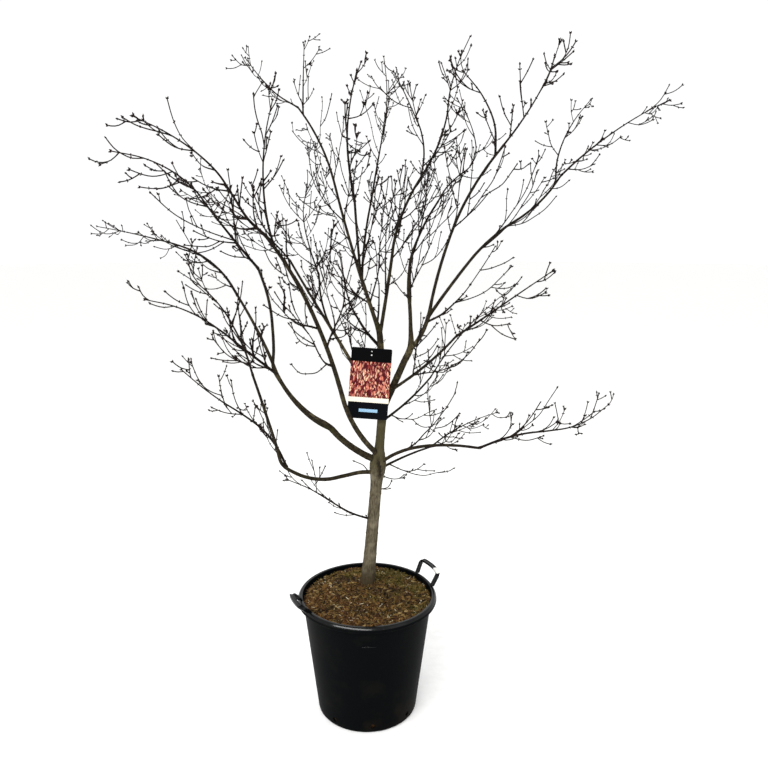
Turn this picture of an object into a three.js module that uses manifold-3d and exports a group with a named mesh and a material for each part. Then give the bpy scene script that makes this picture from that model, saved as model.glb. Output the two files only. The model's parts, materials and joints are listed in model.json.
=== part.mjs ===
// A bare maple in winter in a round nursery pot, with a hanging plant label.
// Millimetres, +Z up, -Y towards the front. The origin is the centre of the pot's flat underside.
import * as THREE from "three";
import { mergeVertices } from "three/addons/utils/BufferGeometryUtils.js";
import Module from "manifold-3d";

const wasm = await Module();
wasm.setup();

// Sizes shared by all the parts
const JOINT_GAP = 0.3;
const UP = new THREE.Vector3(0, 0, 1);

// Pot
const POT_HEIGHT = 411;
const POT_SIDES = 48;
const RIM_RADIUS = 248;
const RIM_BAND = 18;
const LIP_HEIGHT = 20;
const FOOT_RADIUS = 176;
const FOOT_CURVE = 14;
const WALL = 3.5;
const WALL_TOP_RADIUS = 229;
const FLOOR = 4.5;
const LIP_DRAFT = 1.5;
const EDGE_ROUND = 5;
const DRAIN_HOLES = 8;
const DRAIN_RADIUS = 8;
const DRAIN_HEIGHT = 26;
const DRAIN_TURN = 7;

// Handles of the pot
const HANDLE_THICK = 9;
const HANDLE_DEPTH = 15;
const HANDLE_SIDES = 8;
const HANDLE_CORNER = 13;
const HANDLES = [
  { name: "handle_front_left", turn: 205, width: 104, rise: 26, lean: 34 },
  { name: "handle_rear_right", turn: 25, width: 126, rise: 46, lean: 24 },
];

// Soil
const SOIL_EDGE_HEIGHT = 393;
const SOIL_MOUND_HEIGHT = 418;
const SOIL_MOUND_FLAT = 48;
const SOIL_MOUND_REACH = 175;
const SOIL_SIDES = 28;
const SOIL_RINGS = [0.8, 0.58, 0.36, 0.16];
const SOIL_SPARE = 3;
const TRUNK_FOOT_BACK = 50;

// Trunk
const TRUNK_SIDES = 11;
const TRUNK_STEPS = 11;
const TRUNK_FLARE = 4;
const TRUNK_FLARE_HEIGHT = 45;

// Boughs and twigs
const BOUGH_SIDES = 6;
const BOUGH_STEP = 75;
const FLAT_RING = 12;
const TWIG_SIDES = 3;
const TWIG_TIP = 1.6;
const TWIG_DETAIL = 0.35;
const STEM_STEP = 85;
const FIRST_NODE = 38;
const TWIG_CLEARANCE = 2;

// Label
const LABEL_WIDTH = 142;
const LABEL_HEIGHT = 252;
const LABEL_THICK = 1;
const LABEL_CORNER = 6;
const LABEL_CENTRE = [9.5, -6, 1170];
const LABEL_TURN = 4.2;
const LABEL_HOLE = 2.5;
const LABEL_HOLE_DROPS = [12, 25];
const TIE_THICK = 1.6;
const TIE_LENGTH = 95;
const TIE_WIDTH = 66;
const TIE_FRONT = 8;
const TIE_REST = 0.4;
const TIE_SIDES = 4;
const TIE_STEPS = 20;

// The trunk and the boughs. Each leaves the limb that it grows on at a share of that limb's length.
// Its heading (degrees round from +X) and its climb (degrees above level) change evenly between the values given.
const TRUNK = {
  name: "trunk", heading: [-10, -15, 5], climb: [85, 85, 85], length: 690, thick: [45, 34],
};
const BOUGHS = [
  { name: "leader", on: "trunk", at: 1,
    heading: [105, 175], climb: [80, 85], length: 240, thick: [31, 25] },
  { name: "right_stem", on: "trunk", at: 0.95,
    heading: [-15, -30], climb: [65, 65], length: 250, thick: [31, 26] },
  { name: "left_stem", on: "trunk", at: 0.67,
    heading: [-160, -170], climb: [25, 50], length: 230, thick: [28, 24] },
  { name: "front_left_bough", on: "trunk", at: 0.7,
    heading: [-135, -110, -120, -120], climb: [40, 60, 55, 40], length: 1010, thick: [22, 11] },
  { name: "low_left_bough", on: "trunk", at: 0.61,
    heading: [-160, -145, -145, -140], climb: [10, -5, 20, 45], length: 400, thick: [17, 13] },
  { name: "low_right_bough", on: "trunk", at: 0.65,
    heading: [-35, -35, -30], climb: [40, 15, 0], length: 430, thick: [15, 10] },
  { name: "back_left_bough", on: "trunk", at: 0.9,
    heading: [135, 130], climb: [50, 40], length: 440, thick: [18, 13] },
  { name: "right_low_back_bough", on: "trunk", at: 0.88,
    heading: [55, 55], climb: [10, 25], length: 350, thick: [11, 8] },
  { name: "low_right_back_bough", on: "trunk", at: 0.62,
    heading: [45, 45], climb: [10, 0], length: 290, thick: [11, 8] },
  { name: "low_left_limb", on: "low_left_bough", at: 1,
    heading: [-115, -110], climb: [65, 60], length: 370, thick: [13, 9] },
  { name: "left_back_limb", on: "left_stem", at: 1,
    heading: [155, 125, 160], climb: [20, 45, 55], length: 660, thick: [19, 11] },
  { name: "left_front_bough", on: "left_stem", at: 0.93,
    heading: [-125, -130], climb: [25, 60], length: 390, thick: [16, 12] },
  { name: "left_front_limb", on: "left_front_bough", at: 1,
    heading: [-75, -95, -140], climb: [65, 70, 65], length: 350, thick: [12, 9] },
  { name: "back_left_limb", on: "back_left_bough", at: 1,
    heading: [130, 140], climb: [40, 50], length: 330, thick: [13, 10] },
  { name: "back_left_arm", on: "back_left_bough", at: 0.94,
    heading: [125, 95], climb: [45, 60], length: 250, thick: [10, 8] },
  { name: "top_left_bough", on: "leader", at: 1,
    heading: [140, 120], climb: [65, 55], length: 240, thick: [18, 15] },
  { name: "top_left_limb", on: "top_left_bough", at: 1,
    heading: [135, 135, 155], climb: [65, 70, 50], length: 700, thick: [13, 8] },
  { name: "front_top_limb", on: "top_left_bough", at: 0.93,
    heading: [-95, -90, -90], climb: [55, 25, 30], length: 470, thick: [11, 9] },
  { name: "back_top_limb", on: "top_left_bough", at: 0.86,
    heading: [90, 70], climb: [50, 60], length: 360, thick: [11, 9] },
  { name: "top_right_limb", on: "leader", at: 0.93,
    heading: [-15, -80, -35], climb: [80, 55, 50], length: 660, thick: [16, 8] },
  { name: "right_back_bough", on: "right_stem", at: 1,
    heading: [85, 95, 70], climb: [70, 55, 55], length: 370, thick: [18, 12] },
  { name: "right_back_limb", on: "right_back_bough", at: 1,
    heading: [65, 45], climb: [50, 45], length: 270, thick: [11, 9] },
  { name: "right_out_bough", on: "right_stem", at: 0.93,
    heading: [-45, -50], climb: [40, 70], length: 170, thick: [19, 16] },
  { name: "right_front_limb", on: "right_out_bough", at: 1,
    heading: [-80, -70, -50], climb: [55, 50, 40], length: 690, thick: [13, 8] },
  { name: "right_long_limb", on: "right_out_bough", at: 0.93,
    heading: [40, 15, 15, 20], climb: [45, 50, 30, 55], length: 720, thick: [14, 8] },
  { name: "right_low_front_bough", on: "right_stem", at: 0.3,
    heading: [-50, -65], climb: [30, 35], length: 440, thick: [13, 8] },
];

// The masses of twigs. Each is one stem that starts at its bough's tip, or on the trunk, with side shoots by a rule.
const MASSES = [
  { name: "low_left_twigs", on: "low_left_limb", at: 1,
    heading: [-115, -160, -170], climb: [70, 60, 30], length: 400, thick: 8, seed: 204 },
  { name: "low_left_side_twigs", on: "low_left_bough", at: 0.94,
    heading: [-150, -150, -140], climb: [70, 35, 45], length: 510, thick: 8, seed: 87 },
  { name: "far_left_twigs", on: "left_back_limb", at: 1,
    heading: [160, 170, 180], climb: [60, 15, 10], length: 660, thick: 10, seed: 109 },
  { name: "left_bundle_twigs", on: "left_front_bough", at: 0.94,
    heading: [-150, -150, -165], climb: [40, 40, 10], length: 480, thick: 8, seed: 121 },
  { name: "left_front_twigs", on: "left_front_limb", at: 1,
    heading: [-135, -125, -160], climb: [45, 45, 5], length: 560, thick: 8, seed: 59 },
  { name: "far_left_top_twigs", on: "front_left_bough", at: 1,
    heading: [-130, -115, -150, -155], climb: [30, 50, 35, 20], length: 490, thick: 9, seed: 258 },
  { name: "front_left_twigs", on: "front_left_bough", at: 0.95,
    heading: [-105, -85, -30], climb: [50, 80, 70], length: 420, thick: 7, seed: 131 },
  { name: "back_left_twigs", on: "back_left_limb", at: 1,
    heading: [125, 150, 155, 145], climb: [30, 35, 25, 75], length: 660, thick: 9, seed: 76 },
  { name: "back_left_up_twigs", on: "back_left_arm", at: 1,
    heading: [125, 115, 5], climb: [50, 60, 60], length: 470, thick: 7, seed: 82 },
  { name: "centre_twigs", on: "top_left_bough", at: 0.95,
    heading: [-70, 10], climb: [55, 75], length: 340, thick: 6, seed: 82 },
  { name: "top_left_twigs", on: "top_left_limb", at: 1,
    heading: [175, 170, 165], climb: [25, 45, 55], length: 290, thick: 6, seed: 23 },
  { name: "top_left_up_twigs", on: "top_left_limb", at: 0.95,
    heading: [95, 65], climb: [80, 85], length: 270, thick: 6, seed: 161 },
  { name: "front_top_twigs", on: "front_top_limb", at: 1,
    heading: [-95, -90, -70], climb: [30, 30, 45], length: 550, thick: 8, seed: 127 },
  { name: "back_top_twigs", on: "back_top_limb", at: 1,
    heading: [75, 60, 200], climb: [60, 70, 80], length: 620, thick: 8, seed: 91 },
  { name: "peak_twigs", on: "top_right_limb", at: 1,
    heading: [-30, -45, -20], climb: [55, 80, 60], length: 420, thick: 7, seed: 4 },
  { name: "top_right_twigs", on: "top_right_limb", at: 0.95,
    heading: [45, 130, 150], climb: [70, 60, 60], length: 400, thick: 6, seed: 51 },
  { name: "right_back_up_twigs", on: "right_back_bough", at: 0.94,
    heading: [55, 85], climb: [55, 65], length: 380, thick: 7, seed: 46 },
  { name: "right_back_twigs", on: "right_back_limb", at: 1,
    heading: [60, 35, 110, 165], climb: [45, 30, 65, 55], length: 590, thick: 8, seed: 51 },
  { name: "right_front_twigs", on: "right_front_limb", at: 1,
    heading: [-65, -35, -55], climb: [30, 55, 70], length: 320, thick: 7, seed: 188 },
  { name: "right_front_inner_twigs", on: "right_front_limb", at: 0.95,
    heading: [-65, -170, -190], climb: [75, 65, 45], length: 260, thick: 6, seed: 101 },
  { name: "far_right_twigs", on: "right_long_limb", at: 1,
    heading: [25, 5, 5], climb: [40, 35, 25], length: 500, thick: 7, seed: 133 },
  { name: "far_right_up_twigs", on: "right_long_limb", at: 0.95,
    heading: [85, 30, 15], climb: [70, 60, 45], length: 360, thick: 6, seed: 12 },
  { name: "right_low_front_twigs", on: "right_low_front_bough", at: 1,
    heading: [-50, -35, -20], climb: [30, 35, 35], length: 380, thick: 7, seed: 141 },
  { name: "right_low_back_twigs", on: "right_low_back_bough", at: 1,
    heading: [45, 30, 25], climb: [45, 40, 30], length: 530, thick: 7, seed: 59 },
  { name: "low_right_twigs", on: "low_right_bough", at: 1,
    heading: [0, 10, 25], climb: [25, 0, 35], length: 480, thick: 8, seed: 137 },
  { name: "low_right_back_twigs", on: "low_right_back_bough", at: 1,
    heading: [45, 20], climb: [20, 10], length: 350, thick: 7, seed: 133 },
  { name: "trunk_twigs", on: "trunk", at: 0.35,
    heading: [-155, -155, -155], climb: [20, 40, 25], length: 380, thick: 7, seed: 47 },
];

// The rule of the side shoots: level 1 leaves the stem, level 2 leaves level 1.
const LEVELS = [
  { steps: 2, spacing: 72, keep: 0.62, angle: [28, 46], length: [80, 210], lift: 0.35, thick: 0.62 },
  { steps: 1, spacing: 52, keep: 0.5, angle: [30, 48], length: [45, 110], lift: 0.3, thick: 0.85 },
];
const SIDE_REACH = 0.8;
const SIDE_SPARE = 40;
const SHORTEST_TWIG = 35;
const TURN_PLAY = 0.5;
const SWAY = 0.09;
const SPACE_END = 110;
const SPACE_SIDE = 0.5;

// Colours
const BARK = 0x575040;
const BOUGH_BARK = 0x3f372d;
const TWIG_BARK = 0x2c2420;
const POT_BLACK = 0x16181a;
const COMPOST = 0x4e3d22;
const CARD = 0x8a3a40;

// Numbers between 0 and 1 that always come out in the same order for the same seed
function random(seed) {
  let state = (seed * 7919 + 104729) % 2147483647;
  const next = () => {
    state = (state * 16807) % 2147483647;
    return state / 2147483647;
  };
  next();
  next();
  return next;
}

function between(range, share) {
  return range[0] + (range[1] - range[0]) * share;
}

function aim(heading, climb) {
  const h = THREE.MathUtils.degToRad(heading);
  const c = THREE.MathUtils.degToRad(climb);
  return new THREE.Vector3(Math.cos(c) * Math.cos(h), Math.cos(c) * Math.sin(h), Math.sin(c));
}

// The direction of a limb at a share of its length
function directionAt(limb, share) {
  const last = limb.heading.length - 1;
  const place = Math.min(share * last, last - 1e-9);
  const i = Math.floor(place);
  return aim(limb.heading[i], limb.climb[i])
    .lerp(aim(limb.heading[i + 1], limb.climb[i + 1]), place - i)
    .normalize();
}

// The middle line of a limb in equal steps
function grow(limb, start, steps) {
  const points = [start.clone()];
  for (let i = 0; i < steps; i++) {
    const step = directionAt(limb, (i + 0.5) / steps).multiplyScalar(limb.length / steps);
    points.push(points[i].clone().add(step));
  }
  return points;
}

// A vector at right angles to a direction, turned round it by an angle
function across(direction, angle) {
  const aside = Math.abs(direction.z) < 0.9 ? UP : new THREE.Vector3(1, 0, 0);
  const u = new THREE.Vector3().crossVectors(direction, aside).normalize();
  const v = new THREE.Vector3().crossVectors(direction, u);
  return u.multiplyScalar(Math.cos(angle)).addScaledVector(v, Math.sin(angle));
}

function tangents(points, first, last) {
  return points.map((p, i) => {
    if (i === 0 && first) return first.clone();
    if (i === points.length - 1 && last) return last.clone();
    const before = points[Math.max(i - 1, 0)];
    const after = points[Math.min(i + 1, points.length - 1)];
    return after.clone().sub(before).normalize();
  });
}

// A solid from corner points and the faces between them
function solidOf(corners, faces) {
  return new wasm.Manifold(
    new wasm.Mesh({ numProp: 3, vertProperties: new Float32Array(corners), triVerts: new Uint32Array(faces) }),
  );
}

function solidOfGeometry(geometry) {
  const plain = geometry.clone();
  plain.deleteAttribute("normal");
  plain.deleteAttribute("uv");
  const merged = mergeVertices(plain, 1e-4);
  return solidOf(merged.attributes.position.array, merged.index.array);
}

// A closed solid over a row of rings, flat at both ends, or drawn to a point at its last end
function skin(rings, tip) {
  const sides = rings[0].length;
  const corners = rings.flat().flatMap((corner) => corner.toArray());
  const faces = [];
  for (let i = 0; i + 1 < rings.length; i++) {
    for (let k = 0; k < sides; k++) {
      const a = i * sides + k;
      const b = i * sides + ((k + 1) % sides);
      faces.push(a, b, b + sides, a, b + sides, a + sides);
    }
  }
  for (let k = 1; k + 1 < sides; k++) {
    faces.push(0, k + 1, k);
  }
  const top = (rings.length - 1) * sides;
  if (tip) {
    corners.push(...tip.toArray());
    for (let k = 0; k < sides; k++) {
      faces.push(top + k, top + ((k + 1) % sides), top + sides);
    }
  } else {
    for (let k = 1; k + 1 < sides; k++) {
      faces.push(top, top + k, top + k + 1);
    }
  }
  return solidOf(corners, faces);
}

// A ring of corners round a point, in the plane of two directions
function ring(point, side, other, sideRadius, otherRadius, sides) {
  return Array.from({ length: sides }, (_, k) => {
    const turn = (2 * Math.PI * k) / sides;
    return point.clone()
      .addScaledVector(side, sideRadius * Math.cos(turn))
      .addScaledVector(other, otherRadius * Math.sin(turn));
  });
}

// A tube round a line of points
function tube(points, radii, sides, ends = {}) {
  const along = tangents(points, ends.first, ends.last);
  const body = ends.pointed ? points.slice(0, -1) : points;
  let side = across(along[0], ends.roll || 0);
  const rings = body.map((point, i) => {
    side = side.clone().addScaledVector(along[i], -side.dot(along[i])).normalize();
    const other = new THREE.Vector3().crossVectors(along[i], side);
    return ring(point, side, other, radii[i], radii[i], sides);
  });
  return skin(rings, ends.pointed ? points[points.length - 1] : null);
}

// The same tube made thicker and longer by the joint gap, to cut its neighbours with
function tubeWithGap(limb) {
  const { points, radii, sides, first, last } = limb;
  const longer = points.map((p) => p.clone());
  const gap = JOINT_GAP;
  longer[0].addScaledVector(first, -gap);
  longer[points.length - 1].addScaledVector(last, gap);
  return tube(longer, radii.map((r) => r + gap / Math.cos(Math.PI / sides)), sides, { first, last });
}

// The largest piece of a solid, without loose scraps
function largest(solid) {
  const pieces = solid.decompose();
  return pieces.reduce((best, piece) => (piece.volume() > best.volume() ? piece : best));
}

function boxesMeet(a, b) {
  const p = a.boundingBox();
  const q = b.boundingBox();
  return [0, 1, 2].every((i) => p.min[i] < q.max[i] && q.min[i] < p.max[i]);
}

function cutClear(solid, neighbours) {
  let left = solid;
  for (const neighbour of neighbours) {
    if (boxesMeet(left, neighbour)) {
      left = left.subtract(neighbour);
    }
  }
  return largest(left);
}

// The place at a share of a line's length: its point, the line's direction there and the radius
function placeOn(line, share) {
  const { points, radii } = line;
  const steps = points.slice(1).map((p, i) => p.distanceTo(points[i]));
  let left = share * steps.reduce((sum, step) => sum + step, 0);
  let i = 0;
  while (i < steps.length - 1 && left > steps[i]) {
    left -= steps[i];
    i += 1;
  }
  const part = left / steps[i];
  return {
    point: points[i].clone().lerp(points[i + 1], part),
    along: points[i + 1].clone().sub(points[i]).normalize(),
    radius: between([radii[i], radii[i + 1]], part),
  };
}

// Where a limb starts: on the middle line of the limb that carries it, or just past that limb's end
function startOn(parent, at) {
  if (at === 1) {
    const end = parent.points[parent.points.length - 1];
    return end.clone().addScaledVector(parent.last, JOINT_GAP);
  }
  return placeOn(parent, at).point;
}

const limbs = new Map();
const clearOf = [];
const solids = [];

function addSolid(name, solid, colour, roughness) {
  const mesh = solid.getMesh();
  const geometry = new THREE.BufferGeometry();
  const corners = new Float32Array(mesh.numVert * 3);
  for (let i = 0; i < mesh.numVert; i++) {
    corners.set(mesh.vertProperties.subarray(i * mesh.numProp, i * mesh.numProp + 3), i * 3);
  }
  geometry.setAttribute("position", new THREE.BufferAttribute(corners, 3));
  geometry.setIndex(new THREE.BufferAttribute(mesh.triVerts, 1));
  const material = new THREE.MeshStandardMaterial({ color: colour, roughness, flatShading: true });
  const made = new THREE.Mesh(geometry, material);
  made.name = name;
  solids.push(made);
}

// Trunk: flat at the soil, flared at its foot, tapering to the fork
function trunk() {
  const start = new THREE.Vector3(0, TRUNK_FOOT_BACK, SOIL_MOUND_HEIGHT + JOINT_GAP);
  const points = grow(TRUNK, start, TRUNK_STEPS);
  // One more ring near the soil shapes the flare of the roots.
  points.splice(1, 0, points[0].clone().lerp(points[1], 0.35));
  const radii = points.map((p) => {
    const height = p.z - start.z;
    const flare = TRUNK_FLARE * Math.exp(-height / TRUNK_FLARE_HEIGHT);
    return between(TRUNK.thick, height / (points[points.length - 1].z - start.z)) / 2 + flare;
  });
  const limb = { points, radii, sides: TRUNK_SIDES, first: UP.clone(), last: directionAt(TRUNK, 1) };
  limbs.set("trunk", limb);
  clearOf.push(tubeWithGap(limb));
  addSolid("trunk", tube(points, radii, TRUNK_SIDES, { first: limb.first, last: limb.last }), BARK, 0.9);
}

// A bough: one tapering limb, cut clear of the limb that it grows on
function bough(spec) {
  const parent = limbs.get(spec.on);
  const start = startOn(parent, spec.at);
  const steps = Math.max(3, Math.ceil(spec.length / BOUGH_STEP));
  const points = grow(spec, start, steps);
  const radii = points.map((p, i) => between(spec.thick, i / steps) / 2);
  const first = spec.at === 1 ? parent.last : directionAt(spec, 0);
  if (spec.at === 1) {
    points.splice(1, 0, start.clone().addScaledVector(directionAt(spec, 0), FLAT_RING));
    radii.splice(1, 0, radii[0]);
  }
  const limb = { points, radii, sides: BOUGH_SIDES, first, last: directionAt(spec, 1) };
  const solid = cutClear(tube(points, radii, BOUGH_SIDES, { first, last: limb.last }), clearOf);
  limbs.set(spec.name, limb);
  clearOf.push(tubeWithGap(limb));
  addSolid(spec.name, solid, BOUGH_BARK, 0.85);
}

// Shortest distance between two straight pieces
function distanceBetween(a, b, c, d) {
  const u = b.clone().sub(a);
  const v = d.clone().sub(c);
  const w = a.clone().sub(c);
  const uu = u.dot(u);
  const uv = u.dot(v);
  const vv = v.dot(v);
  const uw = u.dot(w);
  const vw = v.dot(w);
  const bottom = uu * vv - uv * uv;
  let s = bottom > 1e-9 ? THREE.MathUtils.clamp((uv * vw - vv * uw) / bottom, 0, 1) : 0;
  const t = THREE.MathUtils.clamp((uv * s + vw) / vv, 0, 1);
  s = THREE.MathUtils.clamp((uv * t - uw) / uu, 0, 1);
  return a.clone().addScaledVector(u, s).distanceTo(c.clone().addScaledVector(v, t));
}

function touches(twig, others) {
  for (let i = 0; i + 1 < twig.points.length; i++) {
    for (const other of others) {
      const reach = twig.radii[i] + other.radius + TWIG_CLEARANCE;
      if (distanceBetween(twig.points[i], twig.points[i + 1], other.from, other.to) < reach) {
        return true;
      }
    }
  }
  return false;
}

function piecesOf(limb, owner) {
  return limb.points.slice(1).map((to, i) => ({
    from: limb.points[i], to, radius: Math.max(limb.radii[i], limb.radii[i + 1]), owner,
  }));
}

// The space of a mass is longer than its stem by a margin at its end and half as wide as the stem is long
function leavesSpace(twig, mass) {
  const from = mass.stem.points[0];
  const to = mass.stem.points[mass.stem.points.length - 1];
  const middle = from.clone().lerp(to, 0.5);
  const axis = to.clone().sub(from).normalize();
  const half = from.distanceTo(to) / 2 + SPACE_END;
  const width = SPACE_SIDE * mass.spec.length + SPACE_END / 2;
  return twig.points.slice(1).some((p) => {
    const d = p.clone().sub(middle);
    const along = d.dot(axis);
    const aside = Math.sqrt(Math.max(d.lengthSq() - along * along, 0));
    return (along / half) ** 2 + (aside / width) ** 2 > 1;
  });
}

// The stem of a mass, which follows its own heading and climb to the mass's furthest tip
function stemOf(spec) {
  const parent = limbs.get(spec.on);
  const start = startOn(parent, spec.at);
  const steps = Math.round(spec.length / STEM_STEP);
  const points = grow(spec, start, steps);
  const thick = [spec.thick, TWIG_TIP * 2];
  const radii = points.map((p, i) => between(thick, i / steps) / 2);
  const first = spec.at === 1 ? parent.last : directionAt(spec, 0);
  if (spec.at === 1) {
    points.splice(1, 0, start.clone().addScaledVector(directionAt(spec, 0), FLAT_RING));
    radii.splice(1, 0, radii[0]);
  }
  return { points, radii, first, seed: spec.seed, length: spec.length };
}

// A side shoot: it leaves its parent at an angle, then turns up a little, and bends a little at each step
function sideShoot(parent, share, level, turn, seed) {
  const next = random(seed);
  const rule = LEVELS[level];
  const kept = next() < rule.keep;
  const angle = THREE.MathUtils.degToRad(between(rule.angle, next()));
  const ahead = parent.length * (1 - share);
  const length = Math.min(between(rule.length, next()), ahead * SIDE_REACH + SIDE_SPARE);
  const { point: start, along, radius } = placeOn(parent, share);
  const out = along.clone().multiplyScalar(Math.cos(angle))
    .addScaledVector(across(along, turn + TURN_PLAY * (next() - 0.5)), Math.sin(angle));
  const end = out.clone().lerp(UP, rule.lift * next()).normalize();
  const thickness = radius * rule.thick;
  const points = [start];
  const radii = [thickness];
  for (let k = 0; k < rule.steps; k++) {
    const sway = across(out, 2 * Math.PI * next()).multiplyScalar(SWAY);
    const step = out.clone().lerp(end, (k + 0.5) / rule.steps).normalize().add(sway);
    points.push(points[k].clone().addScaledVector(step, length / rule.steps));
    radii.push(Math.max(thickness * (1 - (k + 1) / (rule.steps + 1)), TWIG_TIP));
  }
  return { points, radii, seed, length, kept: kept && length >= SHORTEST_TWIG };
}

// The pairs of side shoots of one shoot, each pair turned a quarter from the pair before
function sideShoots(parent, level) {
  const next = random(parent.seed * 3 + 1);
  const roll = 2 * Math.PI * next();
  const spacing = LEVELS[level].spacing;
  const nodes = Math.floor((parent.length - FIRST_NODE) / spacing) + 1;
  const shoots = [];
  for (let k = 0; k < nodes; k++) {
    const share = (FIRST_NODE + k * spacing) / parent.length;
    for (let side = 0; side < 2; side++) {
      const turn = roll + (k * Math.PI) / 2 + side * Math.PI;
      const seed = (parent.seed * 31 + k * 2 + side + 1) % 2147483647;
      shoots.push(sideShoot(parent, share, level, turn, seed));
    }
  }
  return shoots.filter((shoot) => shoot.kept);
}

// All the masses grow level by level, so that none takes another's place
function growMasses() {
  const pieces = [...limbs].flatMap(([name, limb]) => piecesOf(limb, name));
  const masses = MASSES.map((spec) => ({ spec, stem: stemOf(spec), shoots: [] }));
  for (const mass of masses) {
    mass.shoots = [mass.stem];
    mass.fresh = [mass.stem];
    pieces.push(...piecesOf(mass.stem, mass.spec.name));
  }
  for (let level = 0; level < LEVELS.length; level++) {
    for (const mass of masses) {
      const others = pieces.filter((piece) => piece.owner !== mass.spec.name);
      const grown = mass.fresh.flatMap((parent) => sideShoots(parent, level))
        .filter((shoot) => !leavesSpace(shoot, mass) && !touches(shoot, others));
      mass.shoots.push(...grown);
      mass.fresh = grown;
      pieces.push(...grown.flatMap((shoot) => piecesOf(shoot, mass.spec.name)));
    }
  }
  return masses;
}

// A mass of twigs: its stem and side shoots joined, cut clear of the bough that carries them
function massOfTwigs(mass) {
  const tubes = mass.shoots.map((shoot) =>
    tube(shoot.points, shoot.radii, TWIG_SIDES, { first: shoot.first, roll: shoot.seed % 6, pointed: true }));
  const joined = wasm.Manifold.union(tubes).asOriginal().simplify(TWIG_DETAIL);
  addSolid(mass.spec.name, cutClear(joined, clearOf), TWIG_BARK, 0.8);
}

// Pot: one turned profile from the middle of the floor, up inside, over the rim and down outside
function potRadiusAt(height) {
  const share = (height - FOOT_CURVE) / (POT_HEIGHT - LIP_HEIGHT - FOOT_CURVE);
  return between([FOOT_RADIUS, WALL_TOP_RADIUS], share);
}

function potProfile() {
  const lipFoot = POT_HEIGHT - LIP_HEIGHT;
  const lipFootRadius = RIM_RADIUS - LIP_DRAFT;
  const inner = RIM_RADIUS - RIM_BAND;
  const flat = FOOT_RADIUS - FOOT_CURVE;
  const profile = [[0, 0], [flat, 0]];
  for (let k = 1; k <= 3; k++) {
    const turn = (k * Math.PI) / 6;
    profile.push([flat + FOOT_CURVE * Math.sin(turn), FOOT_CURVE * (1 - Math.cos(turn))]);
  }
  // Up the wall to the groove under the lip, round the lip and the rim, and down inside
  profile.push(
    [potRadiusAt(lipFoot + 6), lipFoot + 6],
    [lipFootRadius - WALL - 0.5, lipFoot + 12],
    [lipFootRadius - WALL, lipFoot],
    [lipFootRadius, lipFoot],
    [RIM_RADIUS, POT_HEIGHT - EDGE_ROUND],
    [RIM_RADIUS - LIP_DRAFT, POT_HEIGHT - LIP_DRAFT],
    [RIM_RADIUS - EDGE_ROUND, POT_HEIGHT],
    [inner + EDGE_ROUND, POT_HEIGHT],
    [inner, POT_HEIGHT - EDGE_ROUND],
    [potRadiusAt(lipFoot) - WALL, lipFoot - EDGE_ROUND],
    [potRadiusAt(FOOT_CURVE) - FLOOR, FOOT_CURVE],
    [flat, FLOOR],
    [0, FLOOR],
  );
  return profile.map(([r, z]) => new THREE.Vector2(r, z));
}

function turned(profile, sides) {
  const geometry = new THREE.LatheGeometry(profile, sides);
  geometry.rotateX(Math.PI / 2);
  return solidOfGeometry(geometry);
}

function pot() {
  let solid = turned(potProfile(), POT_SIDES);
  for (let k = 0; k < DRAIN_HOLES; k++) {
    const hole = new THREE.CylinderGeometry(DRAIN_RADIUS, DRAIN_RADIUS, 2 * FOOT_CURVE, 8);
    hole.rotateZ(Math.PI / 2);
    hole.translate(FOOT_RADIUS, 0, DRAIN_HEIGHT);
    hole.rotateZ(THREE.MathUtils.degToRad(DRAIN_TURN + (360 * k) / DRAIN_HOLES));
    solid = solid.subtract(solidOfGeometry(hole));
  }
  addSolid("pot", largest(solid), POT_BLACK, 0.45);
}

// Soil: fills the pot to just under the rim and rises to a low mound round the foot of the trunk
function soilHeight(x, y) {
  const far = Math.max(Math.hypot(x, y - TRUNK_FOOT_BACK) - SOIL_MOUND_FLAT, 0) / SOIL_MOUND_REACH;
  const share = far < 1 ? (1 - far) * (1 - far) * (1 + 2 * far) : 0;
  return SOIL_EDGE_HEIGHT + (SOIL_MOUND_HEIGHT - SOIL_EDGE_HEIGHT) * share;
}

function soil() {
  const floor = FLOOR + JOINT_GAP;
  const flat = FOOT_RADIUS - FOOT_CURVE - SOIL_SPARE;
  const top = potRadiusAt(SOIL_EDGE_HEIGHT) - WALL - SOIL_SPARE;
  const profile = [[0, floor], [flat, floor], [potRadiusAt(FOOT_CURVE) - FLOOR - SOIL_SPARE, FOOT_CURVE + 1]];
  profile.push([top, SOIL_EDGE_HEIGHT]);
  SOIL_RINGS.forEach((share) => profile.push([top * share, SOIL_EDGE_HEIGHT]));
  profile.push([0, SOIL_EDGE_HEIGHT]);
  const geometry = new THREE.LatheGeometry(profile.map(([r, z]) => new THREE.Vector2(r, z)), SOIL_SIDES);
  geometry.rotateX(Math.PI / 2);
  const place = geometry.attributes.position;
  for (let i = 0; i < place.count; i++) {
    if (place.getZ(i) < SOIL_EDGE_HEIGHT - 1) continue;
    // The rings of the top are drawn towards the trunk, so that the mound's flat crown lies round its foot.
    const share = Math.hypot(place.getX(i), place.getY(i)) / top;
    const y = place.getY(i) + TRUNK_FOOT_BACK * Math.max(1 - share, 0);
    place.setY(i, y);
    place.setZ(i, soilHeight(place.getX(i), y));
  }
  addSolid("soil", solidOfGeometry(geometry), COMPOST, 1);
}

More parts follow.
